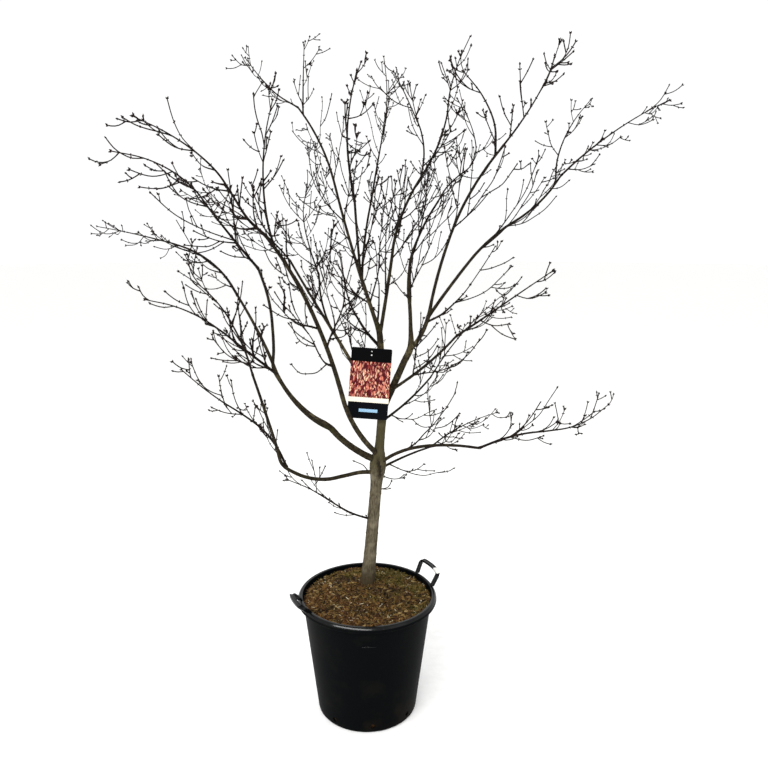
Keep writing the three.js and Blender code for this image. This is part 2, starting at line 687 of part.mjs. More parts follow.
// Handle: a loop of two posts and a bar, curved like the rim, that leans outwards
function handle(spec) {
  const middle = RIM_RADIUS - RIM_BAND / 2;
  const half = (spec.width - HANDLE_THICK) / 2;
  const outwards = (aside) => {
    const turn = THREE.MathUtils.degToRad(spec.turn) + aside / middle;
    return new THREE.Vector3(Math.cos(turn), Math.sin(turn), 0);
  };
  const stations = [[-half, 0]];
  for (let k = 0; k <= 3; k++) {
    const bend = (k * Math.PI) / 6;
    stations.push([
      -half + HANDLE_CORNER * (1 - Math.cos(bend)),
      spec.rise - HANDLE_CORNER * (1 - Math.sin(bend)),
    ]);
  }
  stations.push(...stations.map(([aside, rise]) => [-aside, rise]).reverse());
  const points = stations.map(([aside, rise]) =>
    outwards(aside).multiplyScalar(middle + (spec.lean * rise) / spec.rise)
      .setZ(POT_HEIGHT + JOINT_GAP + rise));
  const along = tangents(points, UP, UP.clone().negate());
  const rings = points.map((point, i) => {
    const side = outwards(stations[i][0]);
    side.addScaledVector(along[i], -side.dot(along[i])).normalize();
    const other = new THREE.Vector3().crossVectors(along[i], side);
    return ring(point, side, other, HANDLE_DEPTH / 2, HANDLE_THICK / 2, HANDLE_SIDES);
  });
  addSolid(spec.name, skin(rings), POT_BLACK, 0.45);
}

// Label: a thin card with two small holes near its top
function labelPlace(object) {
  object.rotateZ(THREE.MathUtils.degToRad(-LABEL_TURN));
  object.rotateX(Math.PI / 2);
  object.translate(...LABEL_CENTRE);
}

function label() {
  const w = LABEL_WIDTH / 2;
  const h = LABEL_HEIGHT / 2;
  const r = LABEL_CORNER;
  const card = new THREE.Shape();
  card.absarc(w - r, h - r, r, 0, Math.PI / 2);
  card.absarc(-w + r, h - r, r, Math.PI / 2, Math.PI);
  card.absarc(-w + r, -h + r, r, Math.PI, 1.5 * Math.PI);
  card.absarc(w - r, -h + r, r, 1.5 * Math.PI, 2 * Math.PI);
  for (const drop of LABEL_HOLE_DROPS) {
    card.holes.push(new THREE.Path().absarc(0, h - drop, LABEL_HOLE, 0, 2 * Math.PI, true));
  }
  const geometry = new THREE.ExtrudeGeometry(card, { depth: LABEL_THICK, bevelEnabled: false, curveSegments: 4 });
  labelPlace(geometry);
  addSolid("label", solidOfGeometry(geometry), CARD, 0.35);
}

// Tie: a thin loop through the label's top hole and round the leader
function labelTie() {
  const hole = new THREE.BufferGeometry();
  const middle = [0, LABEL_HEIGHT / 2 - LABEL_HOLE_DROPS[0], LABEL_THICK / 2];
  hole.setAttribute("position", new THREE.Float32BufferAttribute(middle, 3));
  labelPlace(hole);
  const front = new THREE.Vector3().fromBufferAttribute(hole.attributes.position, 0);
  front.z += TIE_REST;
  const leader = limbs.get("leader").points.reduce((near, p) =>
    (Math.abs(p.z - front.z) < Math.abs(near.z - front.z) ? p : near));
  const target = new THREE.Vector3(leader.x, leader.y, front.z);
  // The loop lies aslant: it goes through the hole, over the top edge of the card and round behind the leader.
  const cosine = 1 - (2 * TIE_FRONT) / TIE_LENGTH;
  const sine = Math.sqrt(1 - cosine * cosine);
  const aside = new THREE.Vector3().crossVectors(target.clone().sub(front), UP).normalize();
  const shift = (sine * TIE_WIDTH) / 2 / Math.SQRT2;
  const long = target.sub(front.clone().addScaledVector(aside, shift)).setLength(TIE_LENGTH / 2);
  const wide = new THREE.Vector3().crossVectors(long, UP).normalize().add(UP).setLength(TIE_WIDTH / 2);
  const centre = front.clone().addScaledVector(long, cosine).addScaledVector(wide, sine);
  const normal = new THREE.Vector3().crossVectors(long, wide).normalize();
  const corners = [];
  const faces = [];
  for (let i = 0; i < TIE_STEPS; i++) {
    const turn = (2 * Math.PI * (i + 0.5)) / TIE_STEPS;
    const point = centre.clone().addScaledVector(long, -Math.cos(turn)).addScaledVector(wide, Math.sin(turn));
    const along = long.clone().multiplyScalar(Math.sin(turn)).addScaledVector(wide, Math.cos(turn)).normalize();
    const side = new THREE.Vector3().crossVectors(along, normal).normalize();
    const other = new THREE.Vector3().crossVectors(along, side);
    const round = ring(point, side, other, TIE_THICK / 2, TIE_THICK / 2, TIE_SIDES);
    corners.push(...round.flatMap((corner) => corner.toArray()));
    for (let k = 0; k < TIE_SIDES; k++) {
      const a = i * TIE_SIDES + k;
      const b = i * TIE_SIDES + ((k + 1) % TIE_SIDES);
      const ahead = ((i + 1) % TIE_STEPS) * TIE_SIDES;
      const c = ahead + k;
      const d = ahead + ((k + 1) % TIE_SIDES);
      faces.push(a, b, d, a, d, c);
    }
  }
  addSolid("label_tie", solidOf(corners, faces), POT_BLACK, 0.5);
}

pot();
HANDLES.forEach(handle);
soil();
trunk();
BOUGHS.forEach(bough);
growMasses().forEach(massOfTwigs);
label();
labelTie();

const plant = new THREE.Group();
plant.name = "potted_maple";
solids.forEach((mesh) => plant.add(mesh));

export default plant;
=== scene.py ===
# A bare maple in winter in a black nursery pot, with a hanging plant label.
# The limbs are worked out in millimetres, as the solids are, and made into meshes in metres.
import json
import math
from functools import partial

import bpy
import numpy as np
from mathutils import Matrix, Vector, noise

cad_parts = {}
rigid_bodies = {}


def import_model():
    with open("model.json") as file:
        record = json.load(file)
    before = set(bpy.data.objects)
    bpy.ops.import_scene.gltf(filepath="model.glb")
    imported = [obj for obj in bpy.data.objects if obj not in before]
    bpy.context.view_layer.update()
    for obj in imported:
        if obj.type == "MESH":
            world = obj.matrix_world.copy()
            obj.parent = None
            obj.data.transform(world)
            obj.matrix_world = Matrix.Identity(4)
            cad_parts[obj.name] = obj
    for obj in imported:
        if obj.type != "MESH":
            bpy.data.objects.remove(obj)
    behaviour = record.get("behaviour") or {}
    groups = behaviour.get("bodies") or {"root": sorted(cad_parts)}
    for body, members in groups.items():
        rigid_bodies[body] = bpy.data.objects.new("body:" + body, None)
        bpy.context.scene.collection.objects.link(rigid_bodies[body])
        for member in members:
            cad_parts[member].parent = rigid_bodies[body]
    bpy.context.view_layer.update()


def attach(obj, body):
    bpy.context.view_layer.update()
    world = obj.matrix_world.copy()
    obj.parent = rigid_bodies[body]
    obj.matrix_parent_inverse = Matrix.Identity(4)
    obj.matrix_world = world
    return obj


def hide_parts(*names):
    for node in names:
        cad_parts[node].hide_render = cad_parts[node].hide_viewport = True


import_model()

MM = 0.001
RIGHT, BACK, UP = np.identity(3)
JOINT_GAP = 0.3
TINY = 1e-9
STEEP = 0.9

# Random numbers, by the rule of the solids, and what a shoot's seed is changed by for each of its parts
RANDOM_SIZE = 2147483647
RANDOM_STEP = 16807
SEED_STEP = 7919
SEED_START = 104729
ROLL_SEED_STEP = 3
SIDE_SEED_STEP = 31
TIP_FORK_SEED = 29
TIP_FORK_SIDE_SEED = 41
BEND_SEED = 53
BUD_SEED = 17

# Pot
POT_HEIGHT = 411
RIM_RADIUS = 248
RIM_BAND = 18
LIP_HEIGHT = 20
FOOT_RADIUS = 176
FOOT_CURVE = 14
WALL = 3.5
WALL_TOP_RADIUS = 229
FLOOR = 4.5
POT_SIDES = 192
POLISHED_TOP = 9
DRAIN_HOLES = 8
DRAIN_RADIUS = 8
DRAIN_HEIGHT = 26
DRAIN_TURN = 7
DRAIN_SIDES = 20
DRAIN_CUT = 24

# Soil: its mound at the trunk, its lumps as (width, height, layer of the noise), and its loose bits
SOIL_EDGE_HEIGHT = 393
SOIL_MOUND_HEIGHT = 418
SOIL_MOUND_FLAT = 48
SOIL_MOUND_REACH = 175
SOIL_SPARE = 3
SOIL_SIDES = 150
SOIL_RINGS = 46
SOIL_EDGE_DROP = 5
SOIL_EDGE_START = 0.9
SOIL_LUMPS_END = 1.02
SOIL_LUMPS_FADE = 12
SOIL_LOWER = 1
SOIL_LUMPS = [(40, 6, 3), (15, 5, 9), (6, 2.5, 5)]
TRUNK_FOOT_BACK = 50
TRUNK_FOOT_RADIUS = 28
TRUNK_FOOT_RIDGE = 3
TRUNK_FOOT_RIDGE_WIDTH = 14
BIT_LUMPS = 6
BIT_TURN_SEED = 7
BIT_SHADE_SEED = 11

# Handles, and the paper sleeve on the rear one
HANDLE_THICK = 9
HANDLE_DEPTH = 15
HANDLE_CORNER = 13
HANDLE_GROOVE = 1.6
HANDLE_BENDS = 6
HANDLE_FOOT_SWELLING = 0.25
HANDLE_FOOT_REACH = 6
HANDLES = [
    dict(name="handle_front_left", turn=205, width=104, rise=26, lean=34),
    dict(name="handle_rear_right", turn=25, width=126, rise=46, lean=24),
]
SLEEVE_START = -57
SLEEVE_LENGTH = 30
SLEEVE_SPARE = 0.8
# The sleeve's tail: how far in from each side, how far below the bar, and how far it sways out
SLEEVE_TAIL = [(0, 0, 0), (0.05, 8, 1.5), (0.12, 16, 4), (0.2, 24, 8)]
PAPER_HALF = 0.4

# The low rib on the wall
RIB_WIDTH = 50
RIB_HEIGHT = 332
RIB_TURN = -87.5
RIB_THICK = 1.6
RIB_DROP = 2
RIB_STEPS = 16
ROUND_SIDES = 8

# Trunk and boughs: how they taper, and the bark's collars, rings of old growth and swellings at forks
TRUNK_FLARE = 4
TRUNK_FLARE_HEIGHT = 45
TRUNK_FLARE_RING = 0.35
TRUNK_STEPS = 11
TRUNK_RADIUS = 20
TRUNK_SPACING = 3.5
ROOT_LOBES = 5
ROOT_LOBES_FADE = 50
FIRST_LIMB_SEED = 900
BOUGH_STEP = 75
FLAT_RING = 12
BOUGH_SLIMMING = 0.86
BOUGH_SPACING = 6
LAST_FOOT = 0.999
TRUNK_FULLNESS = 1.05
HEAD_SLIMMING = 0.88
HEAD_HEIGHT = 14
HEAD_TURNS = (0.5, 0.9, 1.25, 1.5)
LEADER_FOOT = 45
LEADER_FOOT_SLIMMING = 0.8
FORK_HEIGHT = 868
FORK_SWELLING = 0.34
FORK_REACH = 50
COLLAR = 0.3
COLLAR_REACH = 0.9
RING_SWELLING = 0.05
RING_HALF_WIDTH = 3.5
FIRST_RING = (30, 70)
RING_SPACING = (45, 105)
SIDE_SWELLING = 0.08
SIDE_SWELLING_REACH = 1.6

# Twigs and buds
STEM_STEP = 85
FIRST_NODE = 38
TWIG_TIP = 1.6
TWIG_CLEARANCE = 2
TWIG_SLIMMING = 1.15
THINNEST_TIP = 1.65
TWIG_FOOT = 1.3
TWIG_THINNING = 0.2
TWIG_SAG = 0.07
TWIG_BEND = 0.05
LONG_TWIG = 40
LONG_TWIG_SPACING = 12
SHORT_TWIG_SPACING = 8
SIDE_REACH = 0.8
SIDE_SPARE = 40
SHORTEST_TWIG = 35
SHORTEST_SMALL_TWIG = 20
SHORTEST_INNER_SHOOT = 60
SHORTEST_INNER_TWIG = 30
SHORTEST_SPUR = 6
SHORTEST_TIP_FORK = 5
TURN_PLAY = 0.5
SWAY = 0.09
SPACE_END = 110
SPACE_SIDE = 0.5
BUD_WIDTH = 5.6
BUD_SIDES = 5
BUD_FOOT = 0.5
BUD_POINT = 1.1
TIP_BUDS = (0.85, 1.3)
TIP_BUD_SPREAD = (0.3, 0.6)
SIDE_BUDS = (0.5, 0.75)
FIRST_BUD = (24, 46)
BUD_SPACING = (34, 56)
TIP_BUD_DEPTH = 0.8
SIDE_BUD_DEPTH = 0.7
SIDE_BUD_LEAN = 0.9
BARE_TIP = 12

# Label and its tie, and the view of the label that shoots leave clear: the view climbs towards the camera
LABEL_WIDTH = 142
LABEL_HEIGHT = 252
LABEL_THICK = 1
LABEL_CORNER = 6
LABEL_CORNER_STEPS = 6
LABEL_CENTRE = (9.5, -6, 1170)
LABEL_TURN = 4.2
LABEL_SPARE = 22
SIGHT_CLIMB = 0.2
LABEL_HOLE = 2.5
LABEL_HOLE_SIDES = 20
LABEL_HOLE_DROPS = (12, 25)
TIE_THICK = 1.6
TIE_LENGTH = 95
TIE_WIDTH = 66
TIE_FRONT = 8
TIE_REST = 0.4
TIE_STEPS = 60

# The painted shade of the crevice in the bark at the fork, where the stems have grown together: its line in
# metres, its slope, its middle height and its size. Below it, the foot of the trunk is stained as high as the
# last value.
CREVICE_SHADE_PLACE = 0.150
CREVICE_SHADE_SLOPE = 0.1
CREVICE_SHADE_MIDDLE = 858
CREVICE_SHADE_REACH = 52
CREVICE_SHADE_HALF_WIDTH = 9
CREVICE_SHADE_WAVE = 44
FOOT_STAIN = 110

# The print on the card, in card heights: the ends of its plain foot, its pale strip and its picture, and the
# blank bar in the foot as (middle, half its size)
CARD_FOOT = 0.233
CARD_STRIP = 0.3
CARD_PICTURE = 0.809
BAR_ACROSS = (0.287, 0.13)
BAR_UP = (0.118, 0.022)

# Studio, in metres. Each light has its place, width, height and power: a long soft box and two weak ones.
FLOOR_REACH = 40
FLOOR_SIDES = 72
WORLD_STRENGTH = 1.04
LIGHTS_AIM = Vector((0, 0, 0.9))
LIGHTS = [("key", (-1.5, -3.4, 3.3), 4.6, 0.4, 200), ("fill", (3.0, -2.4, 2.4), 2.0, 2.0, 8),
          ("back", (0.5, 3.2, 3.4), 2.0, 2.0, 10)]
CAMERA_PLACE = (0.060, -2.590, 1.705)
CAMERA_DIP = 4.4
CAMERA_LENS = 35
CAMERA_SHIFT = -0.125


def limb_rows(*rows):
    """Rows of the limb table: on which limb, at what share of it, heading and climb in degrees along the way,
    length, thickness, how full its finer twigs grow where the photo shows the crown filled, and a seed."""
    columns = ("name", "on", "at", "heading", "climb", "length", "thick", "fullness", "seed")
    return [dict(zip(columns, row + (0, 0))) for row in rows]


TRUNK, *BOUGHS = limb_rows(
    ("trunk", None, 0, [-10, -15, 5], [85, 85, 85], 690, [45, 34]),
    ("leader", "trunk", 1, [105, 175], [80, 85], 240, [31, 25], 1.4),
    ("right_stem", "trunk", 0.95, [-15, -30], [65, 65], 250, [31, 26], 0.5),
    ("left_stem", "trunk", 0.67, [-160, -170], [25, 50], 230, [28, 24]),
    ("front_left_bough", "trunk", 0.7, [-135, -110, -120, -120], [40, 60, 55, 40], 1010, [22, 11], 1.4),
    ("low_left_bough", "trunk", 0.61, [-160, -145, -145, -140], [10, -5, 20, 45], 400, [17, 13]),
    ("low_right_bough", "trunk", 0.65, [-35, -35, -30], [40, 15, 0], 430, [15, 10], 1.4),
    ("back_left_bough", "trunk", 0.9, [135, 130], [50, 40], 440, [18, 13], 0.9),
    ("right_low_back_bough", "trunk", 0.88, [55, 55], [10, 25], 350, [11, 8], 1.4),
    ("low_right_back_bough", "trunk", 0.62, [45, 45], [10, 0], 290, [11, 8], 1.4),
    ("low_left_limb", "low_left_bough", 1, [-115, -110], [65, 60], 370, [13, 9]),
    ("left_back_limb", "left_stem", 1, [155, 125, 160], [20, 45, 55], 660, [19, 11]),
    ("left_front_bough", "left_stem", 0.93, [-125, -130], [25, 60], 390, [16, 12], 0.5),
    ("left_front_limb", "left_front_bough", 1, [-75, -95, -140], [65, 70, 65], 350, [12, 9]),
    ("back_left_limb", "back_left_bough", 1, [130, 140], [40, 50], 330, [13, 10]),
    ("back_left_arm", "back_left_bough", 0.94, [125, 95], [45, 60], 250, [10, 8], 0.9),
    ("top_left_bough", "leader", 1, [140, 120], [65, 55], 240, [18, 15]),
    ("top_left_limb", "top_left_bough", 1, [135, 135, 155], [65, 70, 50], 700, [13, 8]),
    ("front_top_limb", "top_left_bough", 0.93, [-95, -90, -90], [55, 25, 30], 470, [11, 9]),
    ("back_top_limb", "top_left_bough", 0.86, [90, 70], [50, 60], 360, [11, 9]),
    ("top_right_limb", "leader", 0.93, [-15, -80, -35], [80, 55, 50], 660, [16, 8], 1.4),
    ("right_back_bough", "right_stem", 1, [85, 95, 70], [70, 55, 55], 370, [18, 12]),
    ("right_back_limb", "right_back_bough", 1, [65, 45], [50, 45], 270, [11, 9]),
    ("right_out_bough", "right_stem", 0.93, [-45, -50], [40, 70], 170, [19, 16], 0.5),
    ("right_front_limb", "right_out_bough", 1, [-80, -70, -50], [55, 50, 40], 690, [13, 8]),
    ("right_long_limb", "right_out_bough", 0.93, [40, 15, 15, 20], [45, 50, 30, 55], 720, [14, 8], 0.5),
    ("right_low_front_bough", "right_stem", 0.3, [-50, -65], [30, 35], 440, [13, 8], 1.4),
)
MASSES = limb_rows(
    ("low_left_twigs", "low_left_limb", 1, [-115, -160, -170], [70, 60, 30], 400, 8, 0, 204),
    ("low_left_side_twigs", "low_left_bough", 0.94, [-150, -150, -140], [70, 35, 45], 510, 8, 0, 87),
    ("far_left_twigs", "left_back_limb", 1, [160, 170, 180], [60, 15, 10], 660, 10, 0.5, 109),
    ("left_bundle_twigs", "left_front_bough", 0.94, [-150, -150, -165], [40, 40, 10], 480, 8, 0, 121),
    ("left_front_twigs", "left_front_limb", 1, [-135, -125, -160], [45, 45, 5], 560, 8, 0.5, 59),
    ("far_left_top_twigs", "front_left_bough", 1, [-130, -115, -150, -155], [30, 50, 35, 20], 490, 9,
     0.5, 258),
    ("front_left_twigs", "front_left_bough", 0.95, [-105, -85, -30], [50, 80, 70], 420, 7, 0.5, 131),
    ("back_left_twigs", "back_left_limb", 1, [125, 150, 155, 145], [30, 35, 25, 75], 660, 9, 0, 76),
    ("back_left_up_twigs", "back_left_arm", 1, [125, 115, 5], [50, 60, 60], 470, 7, 0.9, 82),
    ("centre_twigs", "top_left_bough", 0.95, [-70, 10], [55, 75], 340, 6, 0, 82),
    ("top_left_twigs", "top_left_limb", 1, [175, 170, 165], [25, 45, 55], 290, 6, 0, 23),
    ("top_left_up_twigs", "top_left_limb", 0.95, [95, 65], [80, 85], 270, 6, 0, 161),
    ("front_top_twigs", "front_top_limb", 1, [-95, -90, -70], [30, 30, 45], 550, 8, 0, 127),
    ("back_top_twigs", "back_top_limb", 1, [75, 60, 200], [60, 70, 80], 620, 8, 0.5, 91),
    ("peak_twigs", "top_right_limb", 1, [-30, -45, -20], [55, 80, 60], 420, 7, 0, 4),
    ("top_right_twigs", "top_right_limb", 0.95, [45, 130, 150], [70, 60, 60], 400, 6, 0, 51),
    ("right_back_up_twigs", "right_back_bough", 0.94, [55, 85], [55, 65], 380, 7, 0, 46),
    ("right_back_twigs", "right_back_limb", 1, [60, 35, 110, 165], [45, 30, 65, 55], 590, 8, 0.5, 51),
    ("right_front_twigs", "right_front_limb", 1, [-65, -35, -55], [30, 55, 70], 320, 7, 0, 188),
    ("right_front_inner_twigs", "right_front_limb", 0.95, [-65, -170, -190], [75, 65, 45], 260, 6, 0, 101),
    ("far_right_twigs", "right_long_limb", 1, [25, 5, 5], [40, 35, 25], 500, 7, 0, 133),
    ("far_right_up_twigs", "right_long_limb", 0.95, [85, 30, 15], [70, 60, 45], 360, 6, 0, 12),
    ("right_low_front_twigs", "right_low_front_bough", 1, [-50, -35, -20], [30, 35, 35], 380, 7, 0, 141),
    ("right_low_back_twigs", "right_low_back_bough", 1, [45, 30, 25], [45, 40, 30], 530, 7, 0, 59),
    ("low_right_twigs", "low_right_bough", 1, [0, 10, 25], [25, 0, 35], 480, 8, 0.5, 137),
    ("low_right_back_twigs", "low_right_back_bough", 1, [45, 20], [20, 10], 350, 7, 0.5, 133),
    ("trunk_twigs", "trunk", 0.35, [-155, -155, -155], [20, 40, 25], 380, 7, 0, 47),
)
# Small shoots straight from the trunk
SPROUTS = limb_rows(
    ("right_upper_sprout", "trunk", 0.605, [-10, 0, 10], [-30, -15, 15], 95, 4, 0, 31),
    ("right_lower_sprout", "trunk", 0.52, [-5, 5, 10], [-10, 15, 80], 68, 4, 0, 44),
    ("left_sprout", "trunk", 0.59, [-170, -160, -175], [20, 50, 15], 102, 4, 0, 57),
)
LEFT_EDGE = -330
RIGHT_EDGE = 170
LEFT_BOUGHS = ("left_stem", "front_left_bough", "low_left_bough", "left_front_bough")
RIGHT_BOUGHS = ("right_stem", "right_out_bough", "low_right_bough", "right_long_limb",
                "right_low_front_bough", "right_low_back_bough", "low_right_back_bough")

# What lies loose on the soil: bits to a square metre, sizes in metres, and four shades from dark to pale
SOIL_BITS = [
    dict(piece="soil_crumbs", name="compost crumbs", colours=(0x1e150b, 0x3b2b14, 0x574223, 0x6f5a33),
         Density=19000.0, Smallest=(0.005, 0.004, 0.003), Largest=(0.014, 0.011, 0.009),
         Tilt=0.9, Lift=0.001, Roughen=0.006, Seed=3),
    dict(piece="soil_bark_chips", name="pine bark chips", colours=(0x291a0d, 0x4d3518, 0x6b5128, 0x8f7a4f),
         Density=9000.0, Smallest=(0.004, 0.010, 0.002), Largest=(0.013, 0.030, 0.006),
         Tilt=0.7, Lift=0.004, Roughen=0.004, Seed=5),
    dict(piece="soil_fibres", name="pale plant fibres", colours=(0x4a3b1c, 0x6e5a2c, 0x8c7546, 0xc9bda0),
         Density=8000.0, Smallest=(0.001, 0.010, 0.001), Largest=(0.0024, 0.026, 0.0024),
         Tilt=0.6, Lift=0.005, Roughen=0.004, Seed=8),
    dict(piece="soil_flecks", name="pale grit and straw ends",
         colours=(0x8f8260, 0xb3a785, 0xd0c8b2, 0xe4e0d4),
         Density=450.0, Smallest=(0.002, 0.003, 0.0015), Largest=(0.004, 0.007, 0.003),
         Tilt=0.6, Lift=0.007, Roughen=0.001, Seed=21),
]


def shoot_rule(steps, first, spacing, keep, angle, length, lift, thick, salt=1):
    return dict(steps=steps, first=first, spacing=spacing, keep=keep, angle=angle,
                length=length, lift=lift, thick=thick, salt=salt)


# The rule of the side shoots: two levels as in the solids, then the finer ones that only show here
LEVELS = [
    shoot_rule(2, FIRST_NODE, 72, 0.62, (28, 46), (80, 210), 0.35, 0.62),
    shoot_rule(1, FIRST_NODE, 52, 0.5, (30, 48), (45, 110), 0.3, 0.85),
]
LONG_SHOOTS = shoot_rule(4, 30, 90, 0.34, (14, 32), (150, 420), 0.5, 0.55, 5)
SMALL_SHOOTS = shoot_rule(3, 50, 80, 0.13, (28, 50), (30, 130), 0.45, 0.85, 7)
INNER_SHOOTS = shoot_rule(6, 60, 80, 0.4, (16, 36), (240, 620), 0.55, 0.42, 11)
INNER_TWIGS = shoot_rule(4, 60, 70, 0.34, (20, 42), (60, 260), 0.5, 0.75, 19)
SPURS = shoot_rule(1, 24, 60, 0.16, (32, 55), (10, 34), 0.3, 0.9, 13)
TIP_FORK = shoot_rule(1, 0, 1, 1, (22, 38), (7, 20), 0.2, 0.9)
TIP_FORK_SHARE = 0.4
TIP_FORK_PLACE = 0.98
TIP_FORK_FROM = 30
INNER_START = 0.14
FINER_SEED = 77


# How limbs and shoots grow, by the rule of the solids

def random_numbers(seed):
    """A source of numbers between 0 and 1, which come out in the same order for the same seed."""
    state = (seed * SEED_STEP + SEED_START) % RANDOM_SIZE

    def next_number():
        nonlocal state
        state = state * RANDOM_STEP % RANDOM_SIZE
        return state / RANDOM_SIZE

    next_number()
    next_number()
    return next_number


def between(pair, share):
    return pair[0] + (pair[1] - pair[0]) * share


def unit(v):
    return v / math.sqrt(v @ v)


def cross(a, b):
    return np.array([a[1] * b[2] - a[2] * b[1], a[2] * b[0] - a[0] * b[2], a[0] * b[1] - a[1] * b[0]])


def aim(heading, climb):
    h, c = math.radians(heading), math.radians(climb)
    return np.array([math.cos(c) * math.cos(h), math.cos(c) * math.sin(h), math.sin(c)])


def direction_at(row, share):
    last = len(row["heading"]) - 1
    place = min(share * last, last - TINY)
    i = int(place)
    a, b = (aim(row["heading"][k], row["climb"][k]) for k in (i, i + 1))
    return unit(a + (b - a) * (place - i))


def grow(row, start, steps):
    points = [start]
    for i in range(steps):
        points.append(points[i] + direction_at(row, (i + 0.5) / steps) * (row["length"] / steps))
    return points


def across(direction, angle):
    aside = UP if abs(direction[2]) < STEEP else RIGHT
    u = unit(cross(direction, aside))
    return u * math.cos(angle) + cross(direction, u) * math.sin(angle)


def place_on(limb, share):
    """The place at a share of a limb's length: its point, the limb's direction there and the radius."""
    points, radii = limb["points"], limb["radii"]
    steps = [math.dist(points[i], points[i + 1]) for i in range(len(points) - 1)]
    left = share * sum(steps)
    i = 0
    while i < len(steps) - 1 and left > steps[i]:
        left -= steps[i]
        i += 1
    part = left / steps[i]
    line = points[i + 1] - points[i]
    return points[i] + line * part, line / steps[i], radii[i] + (radii[i + 1] - radii[i]) * part


def limb_line(row, parent, steps, thick):
    """A limb as the solids have it, and its line without the extra ring at a flat foot."""
    flat_foot = row["at"] == 1
    start = parent["points"][-1] + parent["last"] * JOINT_GAP if flat_foot else place_on(parent, row["at"])[0]
    points = grow(row, start, steps)
    radii = [between(thick, i / steps) / 2 for i in range(steps + 1)]
    made = dict(row, line=list(points), line_radii=list(radii), last=direction_at(row, 1))
    if flat_foot:
        points.insert(1, start + direction_at(row, 0) * FLAT_RING)
        radii.insert(1, radii[0])
    return dict(made, points=points, radii=radii)


def grow_limbs():
    for index, row in enumerate([TRUNK] + BOUGHS):
        row["seed"] = FIRST_LIMB_SEED + index
    start = np.array([0.0, TRUNK_FOOT_BACK, SOIL_MOUND_HEIGHT + JOINT_GAP])
    points = grow(TRUNK, start, TRUNK_STEPS)
    points.insert(1, points[0] + (points[1] - points[0]) * TRUNK_FLARE_RING)
    heights = [p[2] - start[2] for p in points]
    radii = [between(TRUNK["thick"], height / heights[-1]) / 2
             + TRUNK_FLARE * math.exp(-height / TRUNK_FLARE_HEIGHT) for height in heights]
    made = {"trunk": dict(TRUNK, points=points, radii=radii, line=points, line_radii=radii,
                          last=direction_at(TRUNK, 1))}
    for row in BOUGHS:
        steps = max(3, math.ceil(row["length"] / BOUGH_STEP))
        made[row["name"]] = limb_line(row, made[row["on"]], steps, row["thick"])
    return made


def stem_of(row, parent, steps):
    return limb_line(row, parent, steps, (row["thick"], TWIG_TIP * 2))


def side_shoot(parent, share, rule, turn, seed, shortest, fullness=1.0):
    """A side shoot: it leaves its parent at an angle, then turns up a little, and bends at each step."""
    number = random_numbers(seed)
    kept = number() < rule["keep"] * fullness
    angle = math.radians(between(rule["angle"], number()))
    length = min(between(rule["length"], number()), parent["length"] * (1 - share) * SIDE_REACH + SIDE_SPARE)
    if not kept or length < shortest:
        return None
    start, along, radius = place_on(parent, share)
    out = along * math.cos(angle) + across(along, turn + TURN_PLAY * (number() - 0.5)) * math.sin(angle)
    end = unit(out + (UP - out) * (rule["lift"] * number()))
    thickness = radius * rule["thick"]
    points, radii = [start], [thickness]
    steps = rule["steps"]
    for k in range(steps):
        sway = across(out, 2 * math.pi * number()) * SWAY
        points.append(points[k] + (unit(out + (end - out) * ((k + 0.5) / steps)) + sway) * (length / steps))
        radii.append(max(thickness * (1 - (k + 1) / (steps + 1)), TWIG_TIP))
    return dict(points=points, radii=radii, seed=seed, length=length, parent=parent, share=share)


def side_shoots(parents, rule, shortest=SHORTEST_TWIG, fullness=1.0):
    """The pairs of side shoots of some shoots, each pair turned a quarter from the pair before."""
    shoots = []
    for parent in parents:
        roll = 2 * math.pi * random_numbers(parent["seed"] * ROLL_SEED_STEP + rule["salt"])()
        for k in range(math.floor((parent["length"] - rule["first"]) / rule["spacing"]) + 1):
            share = (rule["first"] + k * rule["spacing"]) / parent["length"]
            for side in range(2):
                turn = roll + k * math.pi / 2 + side * math.pi
                seed = (parent["seed"] * SIDE_SEED_STEP + k * 2 + side + rule["salt"]) % RANDOM_SIZE
                shoots.append(side_shoot(parent, share, rule, turn, seed, shortest, fullness))
    return [shoot for shoot in shoots if shoot]


def straight_pieces(limbs):
    """The straight pieces of limbs: both ends of each, and its larger radius."""
    ends = [pair for limb in limbs for pair in zip(limb["points"], limb["points"][1:])]
    radii = [max(pair) for limb in limbs for pair in zip(limb["radii"], limb["radii"][1:])]
    return np.array(ends).reshape(-1, 2, 3), np.array(radii)


def touches(shoot, others):
    """Whether a shoot comes nearer to other straight pieces than the clearance. The nearest places of two
    pieces are at a share s of the shoot's and t of the other."""
    ends, radius = others
    c, v = ends[:, 0], ends[:, 1] - ends[:, 0]
    vv = (v * v).sum(1)
    points = shoot["points"]
    for i in range(len(points) - 1):
        u = points[i + 1] - points[i]
        w = points[i] - c
        uu, uv, uw, vw = u @ u, v @ u, w @ u, (v * w).sum(1)
        bottom = uu * vv - uv * uv
        crossing = bottom > TINY
        s = np.where(crossing, np.clip((uv * vw - vv * uw) / np.where(crossing, bottom, 1), 0, 1), 0)
        t = np.clip((uv * s + vw) / vv, 0, 1)
        s = np.clip((uv * t - uw) / uu, 0, 1)
        apart = w + s[:, None] * u - t[:, None] * v
        reach = shoot["radii"][i] + radius + TWIG_CLEARANCE
        if ((apart * apart).sum(1) < reach * reach).any():
            return True
    return False


def leaves_space(shoot, stem):
    """The space of a mass is longer than its stem by a margin and half as wide as the stem is long."""
    start, end = stem["points"][0], stem["points"][-1]
    line = end - start
    length = math.sqrt(line @ line)
    axis, middle = line / length, (start + end) / 2
    half = length / 2 + SPACE_END
    width = SPACE_SIDE * stem["length"] + SPACE_END / 2
    for p in shoot["points"][1:]:
        d = p - middle
        along = d @ axis
        aside = math.sqrt(max(d @ d - along * along, 0))
        if (along / half) ** 2 + (aside / width) ** 2 > 1:
            return True
    return False


